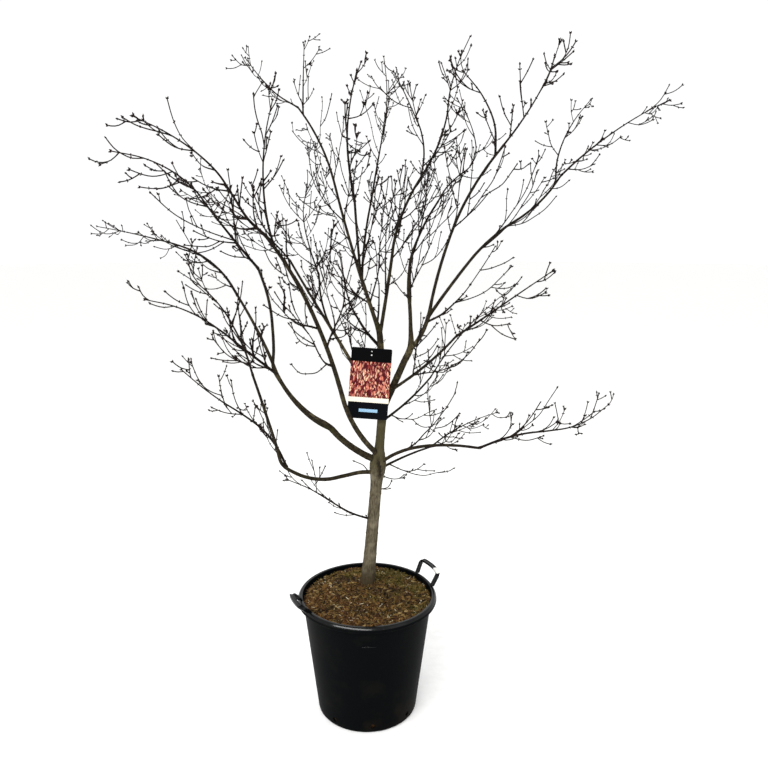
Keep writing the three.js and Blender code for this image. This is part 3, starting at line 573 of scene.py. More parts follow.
def grow_masses(limbs):
    """The masses as the solids have them: level by level, so that none takes another's place."""
    wood = straight_pieces(limbs.values())
    masses = []
    for row in MASSES:
        stem = stem_of(row, limbs[row["on"]], int(row["length"] / STEM_STEP + 0.5))
        masses.append(dict(row, stem=stem, shoots=[stem], fresh=[stem]))
    taken = [(mass, *straight_pieces(mass["fresh"])) for mass in masses]
    for rule in LEVELS:
        for mass in masses:
            apart = [wood] + [pieces for owner, *pieces in taken if owner is not mass]
            others = [np.concatenate(parts) for parts in zip(*apart)]
            mass["fresh"] = [shoot for shoot in side_shoots(mass["fresh"], rule)
                             if not leaves_space(shoot, mass["stem"]) and not touches(shoot, others)]
            mass["shoots"] += mass["fresh"]
            taken.append((mass, *straight_pieces(mass["fresh"])))
    return masses, wood


def with_spurs(shoots):
    """Shoots with their spurs; some tips also end in a fork of two short ones."""
    spurs = side_shoots(shoots, SPURS, SHORTEST_SPUR)
    for parent in shoots:
        number = random_numbers(parent["seed"] + TIP_FORK_SEED)
        if number() <= TIP_FORK_SHARE and parent["length"] >= TIP_FORK_FROM:
            turn = 2 * math.pi * number()
            seed = parent["seed"] + TIP_FORK_SIDE_SEED
            for side in range(2):
                spurs.append(side_shoot(parent, TIP_FORK_PLACE, TIP_FORK, turn + side * math.pi, seed + side,
                                        SHORTEST_TIP_FORK))
    return shoots + spurs


def limb_chains(limbs):
    """The runs of boughs that carry on one from another's tip, each under the name of its first bough."""
    followers = {row["on"]: row["name"] for row in BOUGHS if row["at"] == 1}
    chains = {}
    for row in BOUGHS:
        if row["at"] < 1 or row["on"] == "trunk":
            names = [row["name"]]
            while names[-1] in followers:
                names.append(followers[names[-1]])
            chains[row["name"]] = [limbs[name] for name in names]
    return chains


def finer_shoots(parents, rule, shortest, fullness=1.0):
    """The side shoots that don't come in front of the label, which hangs in full view."""
    out = []
    for shoot in side_shoots(parents, rule, shortest, fullness):
        aside, front, high = (np.array(shoot["points"]) - LABEL_CENTRE).T
        high = high + front * SIGHT_CLIMB
        beside = np.abs(aside) < LABEL_WIDTH / 2 + LABEL_SPARE
        level = np.abs(high) < LABEL_HEIGHT / 2 + LABEL_SPARE
        if not (beside & level & (front < 0)).any():
            out.append(shoot)
    return out


def finer_of_mass(mass, wood):
    """The mass's finer twigs: long shoots beside its stem, then small ones, in the same space."""
    def add_shoots(parents, rule, shortest):
        return [shoot for shoot in finer_shoots(parents, rule, shortest, mass["fullness"])
                if not leaves_space(shoot, mass["stem"]) and not touches(shoot, wood)]

    stem = mass["stem"]
    long = add_shoots([dict(stem, seed=stem["seed"] + FINER_SEED)], LONG_SHOOTS, SHORTEST_TWIG)
    for shoot in long:
        shoot["parent"] = stem
    first = [shoot for shoot in mass["shoots"][1:] if shoot["parent"] is stem]
    return long + add_shoots(first + long, SMALL_SHOOTS, SHORTEST_SMALL_TWIG)


def inner_twigs(chain, wood, visible):
    """Shoots that grow out along a run of boughs itself, inside the crown, and the run's visible line."""
    points, radii = (sum([limb[key] for limb in chain], []) for key in ("points", "radii"))
    parent = dict(chain[0], points=points, radii=radii, length=sum(limb["length"] for limb in chain),
                  seed=chain[0]["seed"] + FINER_SEED, visible=visible)
    grown = []
    for shoot in finer_shoots([parent], INNER_SHOOTS, SHORTEST_INNER_SHOOT, parent["fullness"]):
        rest = dict(points=shoot["points"][1:], radii=shoot["radii"][1:])
        if shoot["share"] > INNER_START and not touches(rest, wood):
            grown.append(shoot)
    grown += finer_shoots(grown, INNER_TWIGS, SHORTEST_INNER_TWIG)
    return with_spurs(grown + finer_shoots(grown, SMALL_SHOOTS, SHORTEST_SMALL_TWIG))


# Visible lines of the limbs

def smooth_path(points, values, spacing):
    """A smooth line through the points, with the values carried along it."""
    rows = np.column_stack([np.array(points), np.array(values)])
    rows = np.vstack([2 * rows[0] - rows[1], rows, 2 * rows[-1] - rows[-2]])
    out = []
    for i in range(1, len(rows) - 2):
        a, b, c, d = rows[i - 1:i + 3]
        count = max(1, round(float(np.linalg.norm(c[:3] - b[:3])) / spacing))
        t = (np.arange(count) / count)[:, None]
        out.append(0.5 * (2 * b + (c - a) * t + (2 * a - 5 * b + 4 * c - d) * t ** 2
                          + (3 * b - a - 3 * c + d) * t ** 3))
    out = np.vstack(out + [rows[-2:-1]])
    return out[:, :3], out[:, 3]


def thickened(points, radii, limb, forks):
    """The radii with a collar at a side bough's foot, low rings of old growth, and swellings at the forks."""
    along = np.concatenate([[0], np.cumsum(np.linalg.norm(np.diff(points, axis=0), axis=1))])
    number = random_numbers(limb["seed"])
    radii = radii.copy()
    if limb["at"] != 1 and limb["on"]:
        radii *= 1 + COLLAR * np.exp(-along / (COLLAR_REACH * limb["foot"]))
    ring = between(FIRST_RING, number())
    while ring < along[-1]:
        radii *= 1 + RING_SWELLING * np.exp(-((along - ring) / RING_HALF_WIDTH) ** 2)
        ring += between(RING_SPACING, number())
    for share, size in forks:
        beside = (along - share * along[-1]) / (SIDE_SWELLING_REACH * radii.mean())
        radii *= 1 + SIDE_SWELLING * min(size, 1) * np.exp(-beside ** 2)
    return radii


def forks_of(limb, parent_radius):
    """The forks on a limb: their shares of its length, and how thick each bough is beside its parent."""
    return [(row["at"], row["thick"][0] / 2 / parent_radius)
            for row in BOUGHS if row["on"] == limb["name"] and row["at"] < 1]


def bough_paths(limbs):
    """Each run of boughs that carry on one from another's tip is one unbroken tapering limb."""
    paths = {}
    for name, chain in limb_chains(limbs).items():
        points, radii, forks = [], [], []
        total, done = sum(limb["length"] for limb in chain), 0
        for limb in chain:
            points += limb["line"][1 if points else 0:]
            radii += limb["line_radii"][1 if radii else 0:]
            forks += [((done + share * limb["length"]) / total, size)
                      for share, size in forks_of(limb, limb["radii"][-1])]
            done += limb["length"]
        first = chain[0]
        parent = limbs[first["on"]]
        first["foot"] = place_on(parent, min(first["at"], LAST_FOOT))[2]
        if name == "leader":
            # The leader starts inside the trunk's head.
            points.insert(0, parent["points"][-1] - parent["last"] * LEADER_FOOT)
            radii.insert(0, parent["radii"][-1] * LEADER_FOOT_SLIMMING)
        line, slim = smooth_path(points, np.array(radii) * BOUGH_SLIMMING, BOUGH_SPACING)
        paths[name] = dict(points=line, radii=thickened(line, slim, first, forks))
    return paths


def trunk_path(trunk):
    """The trunk swells at the fork, is slimmer above it, and its head is rounded off between the stems."""
    points, radii = smooth_path(trunk["points"], trunk["radii"], TRUNK_SPACING)
    radii = thickened(points, radii, trunk, forks_of(trunk, TRUNK_RADIUS))
    above = (points[:, 2] - FORK_HEIGHT) / FORK_REACH
    radii *= between((TRUNK_FULLNESS, HEAD_SLIMMING), np.clip(above, 0, 1))
    radii *= 1 + FORK_SWELLING * np.exp(-above ** 2)
    cap = [points[-1] + trunk["last"] * HEAD_HEIGHT * math.sin(turn) for turn in HEAD_TURNS]
    cap_radii = [radii[-1] * math.cos(turn) for turn in HEAD_TURNS]
    return dict(points=np.vstack([points, cap]), radii=np.concatenate([radii, cap_radii]))


def twig_path(shoot):
    """The visible line of a twig: it leaves its parent's visible line, bows down a little and turns up."""
    points = shoot.get("line", shoot["points"])
    radii = np.array(shoot.get("line_radii", shoot["radii"])) * TWIG_SLIMMING
    shift, bow = np.zeros(3), np.zeros(3)
    if "parent" in shoot:
        shift = place_on(shoot["parent"]["visible"], shoot["share"])[0] - shoot["points"][0]
        number = random_numbers(shoot["seed"] + BEND_SEED)
        along = unit(points[-1] - points[0])
        sag = (along * along[2] - UP) * TWIG_SAG
        bow = (sag + across(along, 2 * math.pi * number()) * TWIG_BEND * number()) * shoot["length"]
    spacing = LONG_TWIG_SPACING if shoot["length"] > LONG_TWIG else SHORT_TWIG_SPACING
    line, fine = smooth_path([p + shift for p in points], radii, spacing)
    share = np.linspace(0, 1, len(line))
    line = line + np.outer(np.sin(math.pi * share), bow)
    fine = np.maximum(fine * (1 - TWIG_THINNING * share), THINNEST_TIP)
    fine[0] *= TWIG_FOOT
    shoot["visible"] = dict(points=line, radii=fine)
    return shoot["visible"]


def twig_buds(shoot):
    """A pair of buds at the tip, and smaller pairs at the nodes on the way, as (place, direction, size)."""
    visible = shoot["visible"]
    number = random_numbers(shoot["seed"] + BUD_SEED)
    tip, along = visible["points"][-1], unit(visible["points"][-1] - visible["points"][-2])
    turn = 2 * math.pi * number()
    spread = between(TIP_BUD_SPREAD, number())
    buds = []
    for side in (0, math.pi):
        size = between(TIP_BUDS, number())
        buds.append((tip - along * TIP_BUD_DEPTH, unit(along + across(along, turn + side) * spread), size))
    place = between(FIRST_BUD, number())
    while place < shoot["length"] - BARE_TIP:
        point, along, radius = place_on(visible, place / shoot["length"])
        turn += math.pi / 2
        for side in (0, math.pi):
            out = across(along, turn + side)
            buds.append((point + out * radius * SIDE_BUD_DEPTH, unit(along * SIDE_BUD_LEAN + out),
                         between(SIDE_BUDS, number())))
        place += between(BUD_SPACING, number())
    return buds


# Small helpers for Blender data

def linear(colour):
    """An sRGB hex value as linear red, green, blue and full alpha."""
    parts = [((colour >> shift) & 255) / 255 for shift in (16, 8, 0)]
    return [c / 12.92 if c <= 0.04045 else ((c + 0.055) / 1.055) ** 2.4 for c in parts] + [1.0]


def feed(socket, value):
    """Links a node's input to an output, or sets it. A colour is given as an sRGB hex value."""
    if isinstance(value, bpy.types.NodeSocket):
        socket.id_data.links.new(value, socket)
    else:
        socket.default_value = linear(value) if socket.type == "RGBA" else value


def add_node(tree, kind, inputs=(), out=0, **settings):
    """Adds a shader, geometry or function node with its settings, and its inputs set or linked in their order
    or by name. Returns one of its outputs."""
    families = ("ShaderNode", "GeometryNode", "FunctionNode")
    made = tree.nodes.new(next(family + kind for family in families if hasattr(bpy.types, family + kind)))
    for key, value in settings.items():
        setattr(made, key, value)
    for key, value in inputs.items() if isinstance(inputs, dict) else enumerate(inputs):
        feed(made.inputs[key], value)
    return made.outputs[out]


def scale_of(size_mm):
    """The scale of a pattern whose parts are so many millimetres across."""
    return 1 / (size_mm * MM)


def placed(name, data):
    """An object in the scene with a mesh, a curve, a light or a camera."""
    made = bpy.data.objects.new(name, data)
    bpy.context.scene.collection.objects.link(made)
    return made


def coat(mesh, *materials):
    mesh.materials.clear()
    for material in materials:
        mesh.materials.append(material)


def piece(name, mesh, nodes=()):
    """A finished piece of the plant, which rides on its only body and may stand for nodes."""
    made = placed(name, mesh)
    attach(made, "root")
    if nodes:
        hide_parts(*nodes)


def mesh_of(name, corners, faces=(), edges=()):
    mesh = bpy.data.meshes.new(name)
    mesh.from_pydata(np.asarray(corners, dtype=float).tolist(), edges, faces)
    mesh.update()
    mesh.shade_smooth()
    return mesh


def taken_off(carrier):
    """The mesh that an object's curve or modifiers make; the object itself goes."""
    depsgraph = bpy.context.evaluated_depsgraph_get()
    made = bpy.data.meshes.new_from_object(carrier.evaluated_get(depsgraph), depsgraph=depsgraph)
    carrier.modifiers.clear()
    bpy.data.objects.remove(carrier)
    return made


def run_tree(tree, mesh, **values):
    """The mesh that a tree makes of another mesh, with the tree's named inputs set."""
    carrier = placed("carrier", mesh)
    modifier = carrier.modifiers.new("nodes", "NODES")
    modifier.node_group = tree
    for item in tree.interface.items_tree:
        name = item.name.replace(" ", "_")
        if item.item_type == "SOCKET" and item.in_out == "INPUT" and name in values:
            modifier[item.identifier] = values[name]
    return taken_off(carrier)


# Geometry Nodes trees

def geometry_tree(name, **sockets):
    """A Geometry Nodes tree with named inputs. Returns the tree, its adder of nodes and its inputs."""
    tree = bpy.data.node_groups.new(name, "GeometryNodeTree")
    tree.interface.new_socket("Geometry", in_out="OUTPUT", socket_type="NodeSocketGeometry")
    for label, kind in dict(Geometry="Geometry", **sockets, Material="Material").items():
        tree.interface.new_socket(label.replace("_", " "), in_out="INPUT", socket_type="NodeSocket" + kind)
    return tree, partial(add_node, tree), tree.nodes.new("NodeGroupInput").outputs


def finish_tree(tree, given, geometry, smooth):
    """The end that every tree here has: instances made real, and the material set."""
    real = add_node(tree, "RealizeInstances", {"Geometry": geometry})
    real = add_node(tree, "SetShadeSmooth", {0: real, "Shade Smooth": smooth})
    made = add_node(tree, "SetMaterial", {"Geometry": real, "Material": given["Material"]})
    feed(tree.nodes.new("NodeGroupOutput").inputs[0], made)
    return tree


def limb_tree():
    """Round limbs along paths, with bark in relief and lobes where the trunk meets its roots."""
    tree, add, given = geometry_tree(
        "limbs along paths", Sides="Int", Relief_depth="Float", Relief_size="Float", Relief_stretch="Float",
        Root_lobes="Float")
    lines = add("MeshToCurve", {"Mesh": given["Geometry"]})
    radius = add("InputNamedAttribute", {"Name": "radius"})
    along = add("SplineParameter", out="Length")
    where = add("InputPosition")
    for name, value, kind in (("bark_along", along, "FLOAT"), ("bark_radius", radius, "FLOAT"),
                              ("middle", where, "FLOAT_VECTOR")):
        lines = add("StoreNamedAttribute", {"Geometry": lines, "Name": name, "Value": value}, data_type=kind)
    profile = add("CurvePrimitiveCircle", {"Resolution": given["Sides"], "Radius": 1.0})
    skin = add("CurveToMesh", {
        "Curve": lines, "Profile Curve": profile, "Scale": radius, "Fill Caps": True})
    middle = add("InputNamedAttribute", {"Name": "middle"}, data_type="FLOAT_VECTOR")
    side = add("VectorMath", [where, middle], operation="SUBTRACT")
    skin = add("StoreNamedAttribute", {"Geometry": skin, "Name": "bark_side", "Value": side},
               data_type="FLOAT_VECTOR")
    # The fourth dimension runs along the limb, so that the fissures are longer than they are wide.
    length = add("InputNamedAttribute", {"Name": "bark_along"})
    stretched = add("Math", [length, given["Relief stretch"]], operation="MULTIPLY")
    scale = add("Math", [1.0, given["Relief size"]], operation="DIVIDE")
    bark = add("TexNoise", {
        "Vector": side, "W": stretched, "Scale": scale, "Detail": 3.0, "Roughness": 0.6},
        noise_dimensions="4D")
    raised = add("Math", [bark, 0.5], operation="SUBTRACT")
    depth = add("Math", [raised, given["Relief depth"]], operation="MULTIPLY")
    # Lobes stand out at the foot and fade upwards.
    flat = add("SeparateXYZ", [side]).node.outputs
    turn = add("Math", [flat[1], flat[0]], operation="ARCTAN2")
    waves = add("Math", [turn, ROOT_LOBES], operation="MULTIPLY")
    lobes = add("Math", [waves], operation="SINE")
    drop = add("Math", [length, -ROOT_LOBES_FADE * MM], operation="DIVIDE")
    fading = add("Math", [drop], operation="EXPONENT")
    lobes = add("Math", [lobes, fading], operation="MULTIPLY")
    reach = add("Math", [lobes, given["Root lobes"], depth], operation="MULTIPLY_ADD")
    outward = add("VectorMath", [side], operation="NORMALIZE")
    offset = add("VectorMath", {0: outward, "Scale": reach}, operation="SCALE")
    skin = add("SetPosition", {"Geometry": skin, "Offset": offset})
    return finish_tree(tree, given, skin, True)


def bud_tree():
    """Pointed buds on points, each turned to its own direction. They are drawn for a width of 1."""
    tree, add, given = geometry_tree("buds on points", Width="Float")
    lower = add("MeshCone", {
        "Vertices": BUD_SIDES, "Radius Top": 0.5, "Radius Bottom": 0.0, "Depth": BUD_FOOT},
        fill_type="NONE")
    upper = add("MeshCone", {
        "Vertices": BUD_SIDES, "Radius Top": 0.0, "Radius Bottom": 0.5, "Depth": BUD_POINT},
        fill_type="NONE")
    upper = add("Transform", {"Geometry": upper, "Translation": (0, 0, BUD_FOOT)})
    both = add("JoinGeometry", [upper])
    feed(both.node.inputs[0], lower)
    bud = add("MergeByDistance", {"Geometry": both, "Distance": 0.01})
    aim_at = add("InputNamedAttribute", {"Name": "aim"}, data_type="FLOAT_VECTOR")
    size = add("InputNamedAttribute", {"Name": "size"})
    turned = add("AlignRotationToVector", {"Vector": aim_at}, axis="Z")
    scale = add("Math", [size, given["Width"]], operation="MULTIPLY")
    points = add("MeshToPoints", {"Mesh": given["Geometry"]})
    buds = add("InstanceOnPoints", {
        "Points": points, "Instance": bud, "Rotation": turned, "Scale": scale})
    return finish_tree(tree, given, buds, True)


def scatter_tree():
    """Loose bits strewn over a surface, each turned, stretched and roughened its own way."""
    tree, add, given = geometry_tree(
        "bits strewn over soil", Density="Float", Smallest="Vector", Largest="Vector", Tilt="Float",
        Lift="Float", Roughen="Float", Seed="Int")
    points = add("DistributePointsOnFaces", {
        "Mesh": given["Geometry"], "Density": given["Density"], "Seed": given["Seed"]})
    bit = add("MeshIcoSphere", {"Radius": 0.5, "Subdivisions": 1})
    scale = add("RandomValue", {0: given["Smallest"], 1: given["Largest"], "Seed": given["Seed"]},
                data_type="FLOAT_VECTOR")
    tilt = given["Tilt"]
    back = add("Math", [tilt, -1.0], operation="MULTIPLY")
    low = add("CombineXYZ", [back, back])
    high = add("CombineXYZ", [tilt, tilt, 2 * math.pi])
    turn = add("RandomValue", {0: low, 1: high, "Seed": BIT_TURN_SEED}, data_type="FLOAT_VECTOR")
    bits = add("InstanceOnPoints", {
        "Points": points, "Instance": bit, "Rotation": turn, "Scale": scale})
    shade = add("RandomValue", {2: 0.0, 3: 1.0, "Seed": BIT_SHADE_SEED}, out=1)
    bits = add("StoreNamedAttribute", {"Geometry": bits, "Name": "bit_shade", "Value": shade},
               domain="INSTANCE")
    bits = add("RealizeInstances", {"Geometry": bits})
    rough = add("TexNoise", {"Scale": scale_of(BIT_LUMPS), "Detail": 1.0}, out="Color")
    evened = add("VectorMath", [rough, (0.5, 0.5, 0.5)], operation="SUBTRACT")
    lift = add("CombineXYZ", {2: given["Lift"]})
    offset = add("VectorMath", [evened, given["Roughen"], lift], operation="MULTIPLY_ADD")
    bits = add("SetPosition", {"Geometry": bits, "Offset": offset})
    return finish_tree(tree, given, bits, False)


# Materials

def new_material(name, base, roughness, specular, *patterns):
    """A material with noise for each of its patterns, which are given by a size in millimetres and a detail.
    Returns the material, its adder of nodes, its surface's inputs, the object's coordinates and the noise."""
    material = bpy.data.materials.new(name)
    material.use_nodes = True
    tree = material.node_tree
    add = partial(add_node, tree)
    surface = tree.nodes["Principled BSDF"].inputs
    feed(surface["Base Color"], base)
    feed(surface["Roughness"], roughness)
    feed(surface["Specular IOR Level"], specular)
    place = add("TexCoord", out="Object")
    noises = [add("TexNoise", {"Vector": place, "Scale": scale_of(size), "Detail": detail})
              for size, detail in patterns]
    return material, add, surface, place, noises


def stained(add, colour, *stains):
    """A colour with stains over it in turn. Each rises to its share as its mask goes from start to full."""
    for mask, start, full, share, stain in stains:
        cover = add("MapRange", {"Value": mask, "From Min": start, "From Max": full, "To Max": share},
                    interpolation_type="SMOOTHSTEP")
        colour = add("Mix", {0: cover, 6: colour, 7: stain}, out=2, data_type="RGBA")
    return colour


def bark_material(name, pale, mid, dark, green, size_mm, depth_mm, *patterns):
    """Bark of a young maple: smooth, dull, finely fissured along the limb, with paler and greener patches."""
    material, add, surface, place, (patches, *noises) = new_material(
        name, mid, 0.82, 0.08, (60, 3), *patterns)
    side = add("Attribute", out="Vector", attribute_name="bark_side")
    along = add("Attribute", out="Fac", attribute_name="bark_along")
    # The fissures are four times as long as they are wide.
    shortened = add("Math", [along, 0.25], operation="MULTIPLY")
    fissures = add("TexNoise", {
        "Vector": side, "W": shortened, "Scale": scale_of(size_mm), "Detail": 4.0, "Roughness": 0.65},
        noise_dimensions="4D")
    relief = add("Bump", {"Strength": 0.7, "Distance": depth_mm * MM, "Height": fissures})
    feed(surface["Normal"], relief)
    colour = stained(add, mid, (fissures, 0.66, 0.34, 1.0, dark), (patches, 0.5, 0.75, 0.9, pale),
                     (patches, 0.46, 0.28, 0.9, green))
    return material, add, surface, place, fissures, colour, noises


def trunk_material():
    """Grey-brown trunk bark, olive above the fork, with painted shade in the crevice where the stems have
    grown together.
    """
    material, add, surface, place, fissures, colour, _ = bark_material(
        "maple trunk bark", 0x716957, 0x5b5443, 0x352e23, 0x4a4530, 4, 1.0)
    aside, _, height = add("SeparateXYZ", [place]).node.outputs
    # The crevice where the stems have grown together is drawn as painted shade: a dark wavy line down the
    # fork.
    wave = add("Math", [fissures, CREVICE_SHADE_WAVE * MM, aside], operation="MULTIPLY_ADD")
    line = add("Math", [height, CREVICE_SHADE_SLOPE, wave], operation="MULTIPLY_ADD")
    away = []
    for value, middle, half in ((line, CREVICE_SHADE_PLACE, CREVICE_SHADE_HALF_WIDTH), (height, CREVICE_SHADE_MIDDLE * MM, CREVICE_SHADE_REACH)):
        off = add("Math", [value, middle], operation="SUBTRACT")
        off = add("Math", [off], operation="ABSOLUTE")
        away.append(add("Math", [off, half * MM], operation="DIVIDE"))
    painted_crevice_shade = add("Math", [away[0], away[1]], operation="MAXIMUM")
    feed(surface["Base Color"], stained(
        add, colour, (height, (SOIL_MOUND_HEIGHT + FOOT_STAIN) * MM, SOIL_MOUND_HEIGHT * MM, 0.9, 0x332a1b),
        (height, (FORK_HEIGHT - 50) * MM, (FORK_HEIGHT + 40) * MM, 0.75, 0x38341e),
        (painted_crevice_shade, 1.0, 0.4, 0.85, 0x14100b)))
    return material


def bough_material():
    """Olive-brown bough bark, smooth, and near black where the bough is young and thin."""
    material, add, surface, _, _, colour, (patches,) = bark_material(
        "maple bough bark", 0x544c34, 0x373020, 0x1a1610, 0x2b2a14, 3, 0.7, (14, 3))
    radius = add("Attribute", out="Fac", attribute_name="bark_radius")
    feed(surface["Base Color"], stained(add, colour, (patches, 0.46, 0.6, 0.75, 0x17120c),
                                        (radius, 0.0075, 0.0028, 1.0, 0x130f0b)))
    return material


def mottled(name, base, second, roughness, specular, pattern, start, full, share=1.0):
    """A surface of one colour with a second one on it, where its pattern goes from start to full."""
    material, add, surface, _, (mottle,) = new_material(name, base, roughness, specular, pattern)
    feed(surface["Base Color"], stained(add, base, (mottle, start, full, share, second)))
    return material, add, surface, mottle


def twig_material():
    """Young maple wood: thin smooth bark, dark red-brown, with a slight sheen."""
    return mottled("young maple twig bark", 0x0f0b09, 0x1c1511, 0.75, 0.06, (33, 2), 0.35, 0.65)[0]


def bud_material():
    """Winter buds: hard shining scales, dark red to black."""
    return mottled("maple bud scales", 0x0c0606, 0x190b0a, 0.5, 0.12, (16, 1), 0.4, 0.6)[0]


def plain_material(name, base, darker, roughness, size_mm):
    """A plain surface with a slight mottle and a fine grain of the given size."""
    material, add, surface, grain = mottled(name, base, darker, roughness, 0.2, (size_mm, 3), 0.6, 0.35)
    feed(surface["Normal"], add("Bump", {"Strength": 0.3, "Distance": 0.1 * MM, "Height": grain}))
    return material


def lip_material():
    """The same plastic where hands and tools have polished it: smooth, with a clear narrow shine."""
    material, add, surface, scuffs = mottled(
        "polished black polypropylene", 0x050607, 0x1b1a17, 0.16, 0.17, (9, 4), 0.55, 0.75, 0.5)
    feed(surface["Roughness"], add("MapRange", {"Value": scuffs, "To Min": 0.08, "To Max": 0.22}))
    return material


def pot_material():
    """Injection-moulded black polypropylene: finely grained, hardly shining, with soil dried on low down."""
    material, add, surface, place, (cloud, grain) = new_material(
        "moulded black polypropylene", 0x050607, 0.5, 0.015, (110, 4), (1.1, 2))
    cloud.node.inputs["Roughness"].default_value = 0.6
    height = add("SeparateXYZ", [place], out=2)
    splashed = add("Math", [height, -1.4, cloud], operation="MULTIPLY_ADD")
    feed(surface["Base Color"], stained(add, 0x050607, (cloud, 0.5, 0.7, 0.35, 0x14130f),
                                        (splashed, 0.42, 0.62, 0.4, 0x18140e)))
    feed(surface["Normal"], add("Bump", {"Strength": 0.2, "Distance": 0.3 * MM, "Height": grain}))
    return material


def compost_material(name, base, roughness, shades, cell_mm=None):
    """Composted bark, rough and without gloss: damp crumbs in cells of the given size, or loose chips and
    fibres with a shade for each bit. Shades go from dark to pale, each as (start, full, colour)."""
    material, add, surface, place, (patch, other, fine) = new_material(
        name, base, roughness, 0.15, (58, 2), (85, 3), (1.7, 2))
    if cell_mm:
        shade = add("SeparateColor", [add("TexVoronoi", {
            "Vector": place, "Scale": scale_of(cell_mm)}, out="Color")])
    else:
        shade = add("Attribute", out="Fac", attribute_name="bit_shade")
    # Moss grows behind and to the right of the trunk, and the front is redder.
    mossy = add("VectorMath", [place, (0.75, 0.75, 0.0)], out="Value", operation="DOT_PRODUCT")
    green = add("Math", [other, mossy])
    red = add("Math", [patch, mossy], operation="SUBTRACT")
    feed(surface["Base Color"], stained(
        add, shades[0], *[(shade, start, full, 1.0, colour) for start, full, colour in shades[1:]],
        (patch, 0.46, 0.3, 0.55, 0x120c06), (red, 0.56, 0.72, 0.16, 0x6b3a18),
        (green, 0.56, 0.7, 0.45, 0x4c4a14), (fine, 0.6, 0.35, 0.5, 0x150e06)))
    feed(surface["Normal"], add("Bump", {"Strength": 0.5, "Distance": MM, "Height": fine}))
    return material


def label_material():
    """Printed polypropylene card: a plain dark head and foot, a blank bar, and a print of loose blades in
    reds and pinks."""
    material, add, surface, *_ = new_material("printed plastic card", 0x8a3a40, 0.45, 0.03)
    # The card's own map runs from 0 at its foot to 1 at its head, in card heights.
    place = add("UVMap", uv_map="card")
    aside, up, _ = add("SeparateXYZ", [place]).node.outputs
    warp = add("TexNoise", {"Vector": place, "Scale": 6.0, "Detail": 2.0}, out="Color",
               noise_dimensions="2D")
    bent = add("VectorMath", [warp, (0.09, 0.09, 0.0), place], operation="MULTIPLY_ADD")
    blades = []
    for angle, wide, long in ((35, 60.0, 16.0), (-50, 74.0, 20.0)):
        turned = add("Mapping", {
            "Vector": bent, "Rotation": (0, 0, math.radians(angle)), "Scale": (wide, long, 1)})
        cells = add("TexVoronoi", {"Vector": turned, "Scale": 1.0}).node.outputs
        tint = add("SeparateColor", [cells["Color"]]).node.outputs
        blades.append(stained(
            add, 0x701a1f, (tint[0], 0.0, 1.0, 1.0, 0xd0806c), (tint[1], 0.62, 0.8, 1.0, 0xe4ba9a),
            (cells["Distance"], 0.36, 0.62, 1.0, 0x451117)))
    patch = add("TexNoise", {"Vector": place, "Scale": 9.0, "Detail": 1.0}, noise_dimensions="2D")
    high, wide = (add("Math", [value, middle, half], operation="COMPARE")
                  for value, (middle, half) in ((up, BAR_UP), (aside, BAR_ACROSS)))
    bar = add("Math", [high, wide], operation="MULTIPLY")
    feed(surface["Base Color"], stained(
        add, blades[0], (patch, 0.48, 0.52, 1.0, blades[1]),
        (up, CARD_STRIP + 0.004, CARD_STRIP, 1.0, 0xdcd5c3),
        (up, CARD_FOOT + 0.003, CARD_FOOT, 1.0, 0x07080b),
        (up, CARD_PICTURE - 0.003, CARD_PICTURE, 1.0, 0x040405), (bar, 0.0, 1.0, 1.0, 0x86a9c2)))
    return material


# Meshes of the limbs

def path_mesh(name, paths):
    """One mesh of open lines with a radius at each point, from paths in millimetres."""
    corners = np.vstack([path["points"] for path in paths]) * MM
    edges, start = [], 0
    for path in paths:
        end = start + len(path["points"])
        edges += [(i, i + 1) for i in range(start, end - 1)]
        start = end
    mesh = mesh_of(name, corners, edges=edges)
    radii = np.concatenate([path["radii"] for path in paths]) * MM
    mesh.attributes.new("radius", "FLOAT", "POINT").data.foreach_set("value", radii)
    return mesh


def bud_mesh(name, buds):
    places, aims, sizes = (np.array(column) for column in zip(*buds))
    mesh = mesh_of(name, places * MM)
    mesh.attributes.new("aim", "FLOAT_VECTOR", "POINT").data.foreach_set("vector", aims.ravel())
    mesh.attributes.new("size", "FLOAT", "POINT").data.foreach_set("value", sizes)
    return mesh


def side_of(name, middle):
    """Twigs and buds come in three pieces each, from left to right, so that none is too large."""
    if name in LEFT_BOUGHS or middle < LEFT_EDGE:
        return "left"
    return "right" if name in RIGHT_BOUGHS or middle > RIGHT_EDGE else "centre"


def dress_tree(limbs):
    skin, buds_on_points = limb_tree(), bud_tree()
    path = path_mesh("trunk path", [trunk_path(limbs["trunk"])])
    mesh = run_tree(skin, path, Sides=56, Relief_depth=0.0022, Relief_size=0.007, Relief_stretch=0.22,
                    Root_lobes=0.0022, Material=trunk_material())
    piece("trunk_bark", mesh, ["trunk"])
    visible = bough_paths(limbs)
    mesh = run_tree(skin, path_mesh("bough paths", visible.values()), Sides=16, Relief_depth=0.0012,
                    Relief_size=0.005, Relief_stretch=0.22, Material=bough_material())
    piece("bough_bark", mesh, [row["name"] for row in BOUGHS])

    masses, wood = grow_masses(limbs)
    groups = {side: dict(shoots=[], nodes=[]) for side in ("left", "centre", "right")}
    for row in SPROUTS:
        groups["centre"]["shoots"] += with_spurs([stem_of(row, limbs["trunk"], 3)])
    for mass in masses:
        shoots = with_spurs(mass["shoots"] + finer_of_mass(mass, wood))
        group = groups[side_of(mass["name"], np.mean([p[0] for p in mass["stem"]["points"]]))]
        group["shoots"] += shoots
        group["nodes"].append(mass["name"])
    for name, chain in limb_chains(limbs).items():
        groups[side_of(name, 0)]["shoots"] += inner_twigs(chain, wood, visible[name])

    bark, scales = twig_material(), bud_material()
    for side, group in groups.items():
        twigs = path_mesh("twig paths", [twig_path(shoot) for shoot in group["shoots"]])
        piece("twigs_" + side, run_tree(skin, twigs, Sides=4, Material=bark), group["nodes"])
        buds = bud_mesh("bud points", [bud for shoot in group["shoots"] for bud in twig_buds(shoot)])
        piece("buds_" + side, run_tree(buds_on_points, buds, Width=BUD_WIDTH * MM, Material=scales))


# Shapes over rings

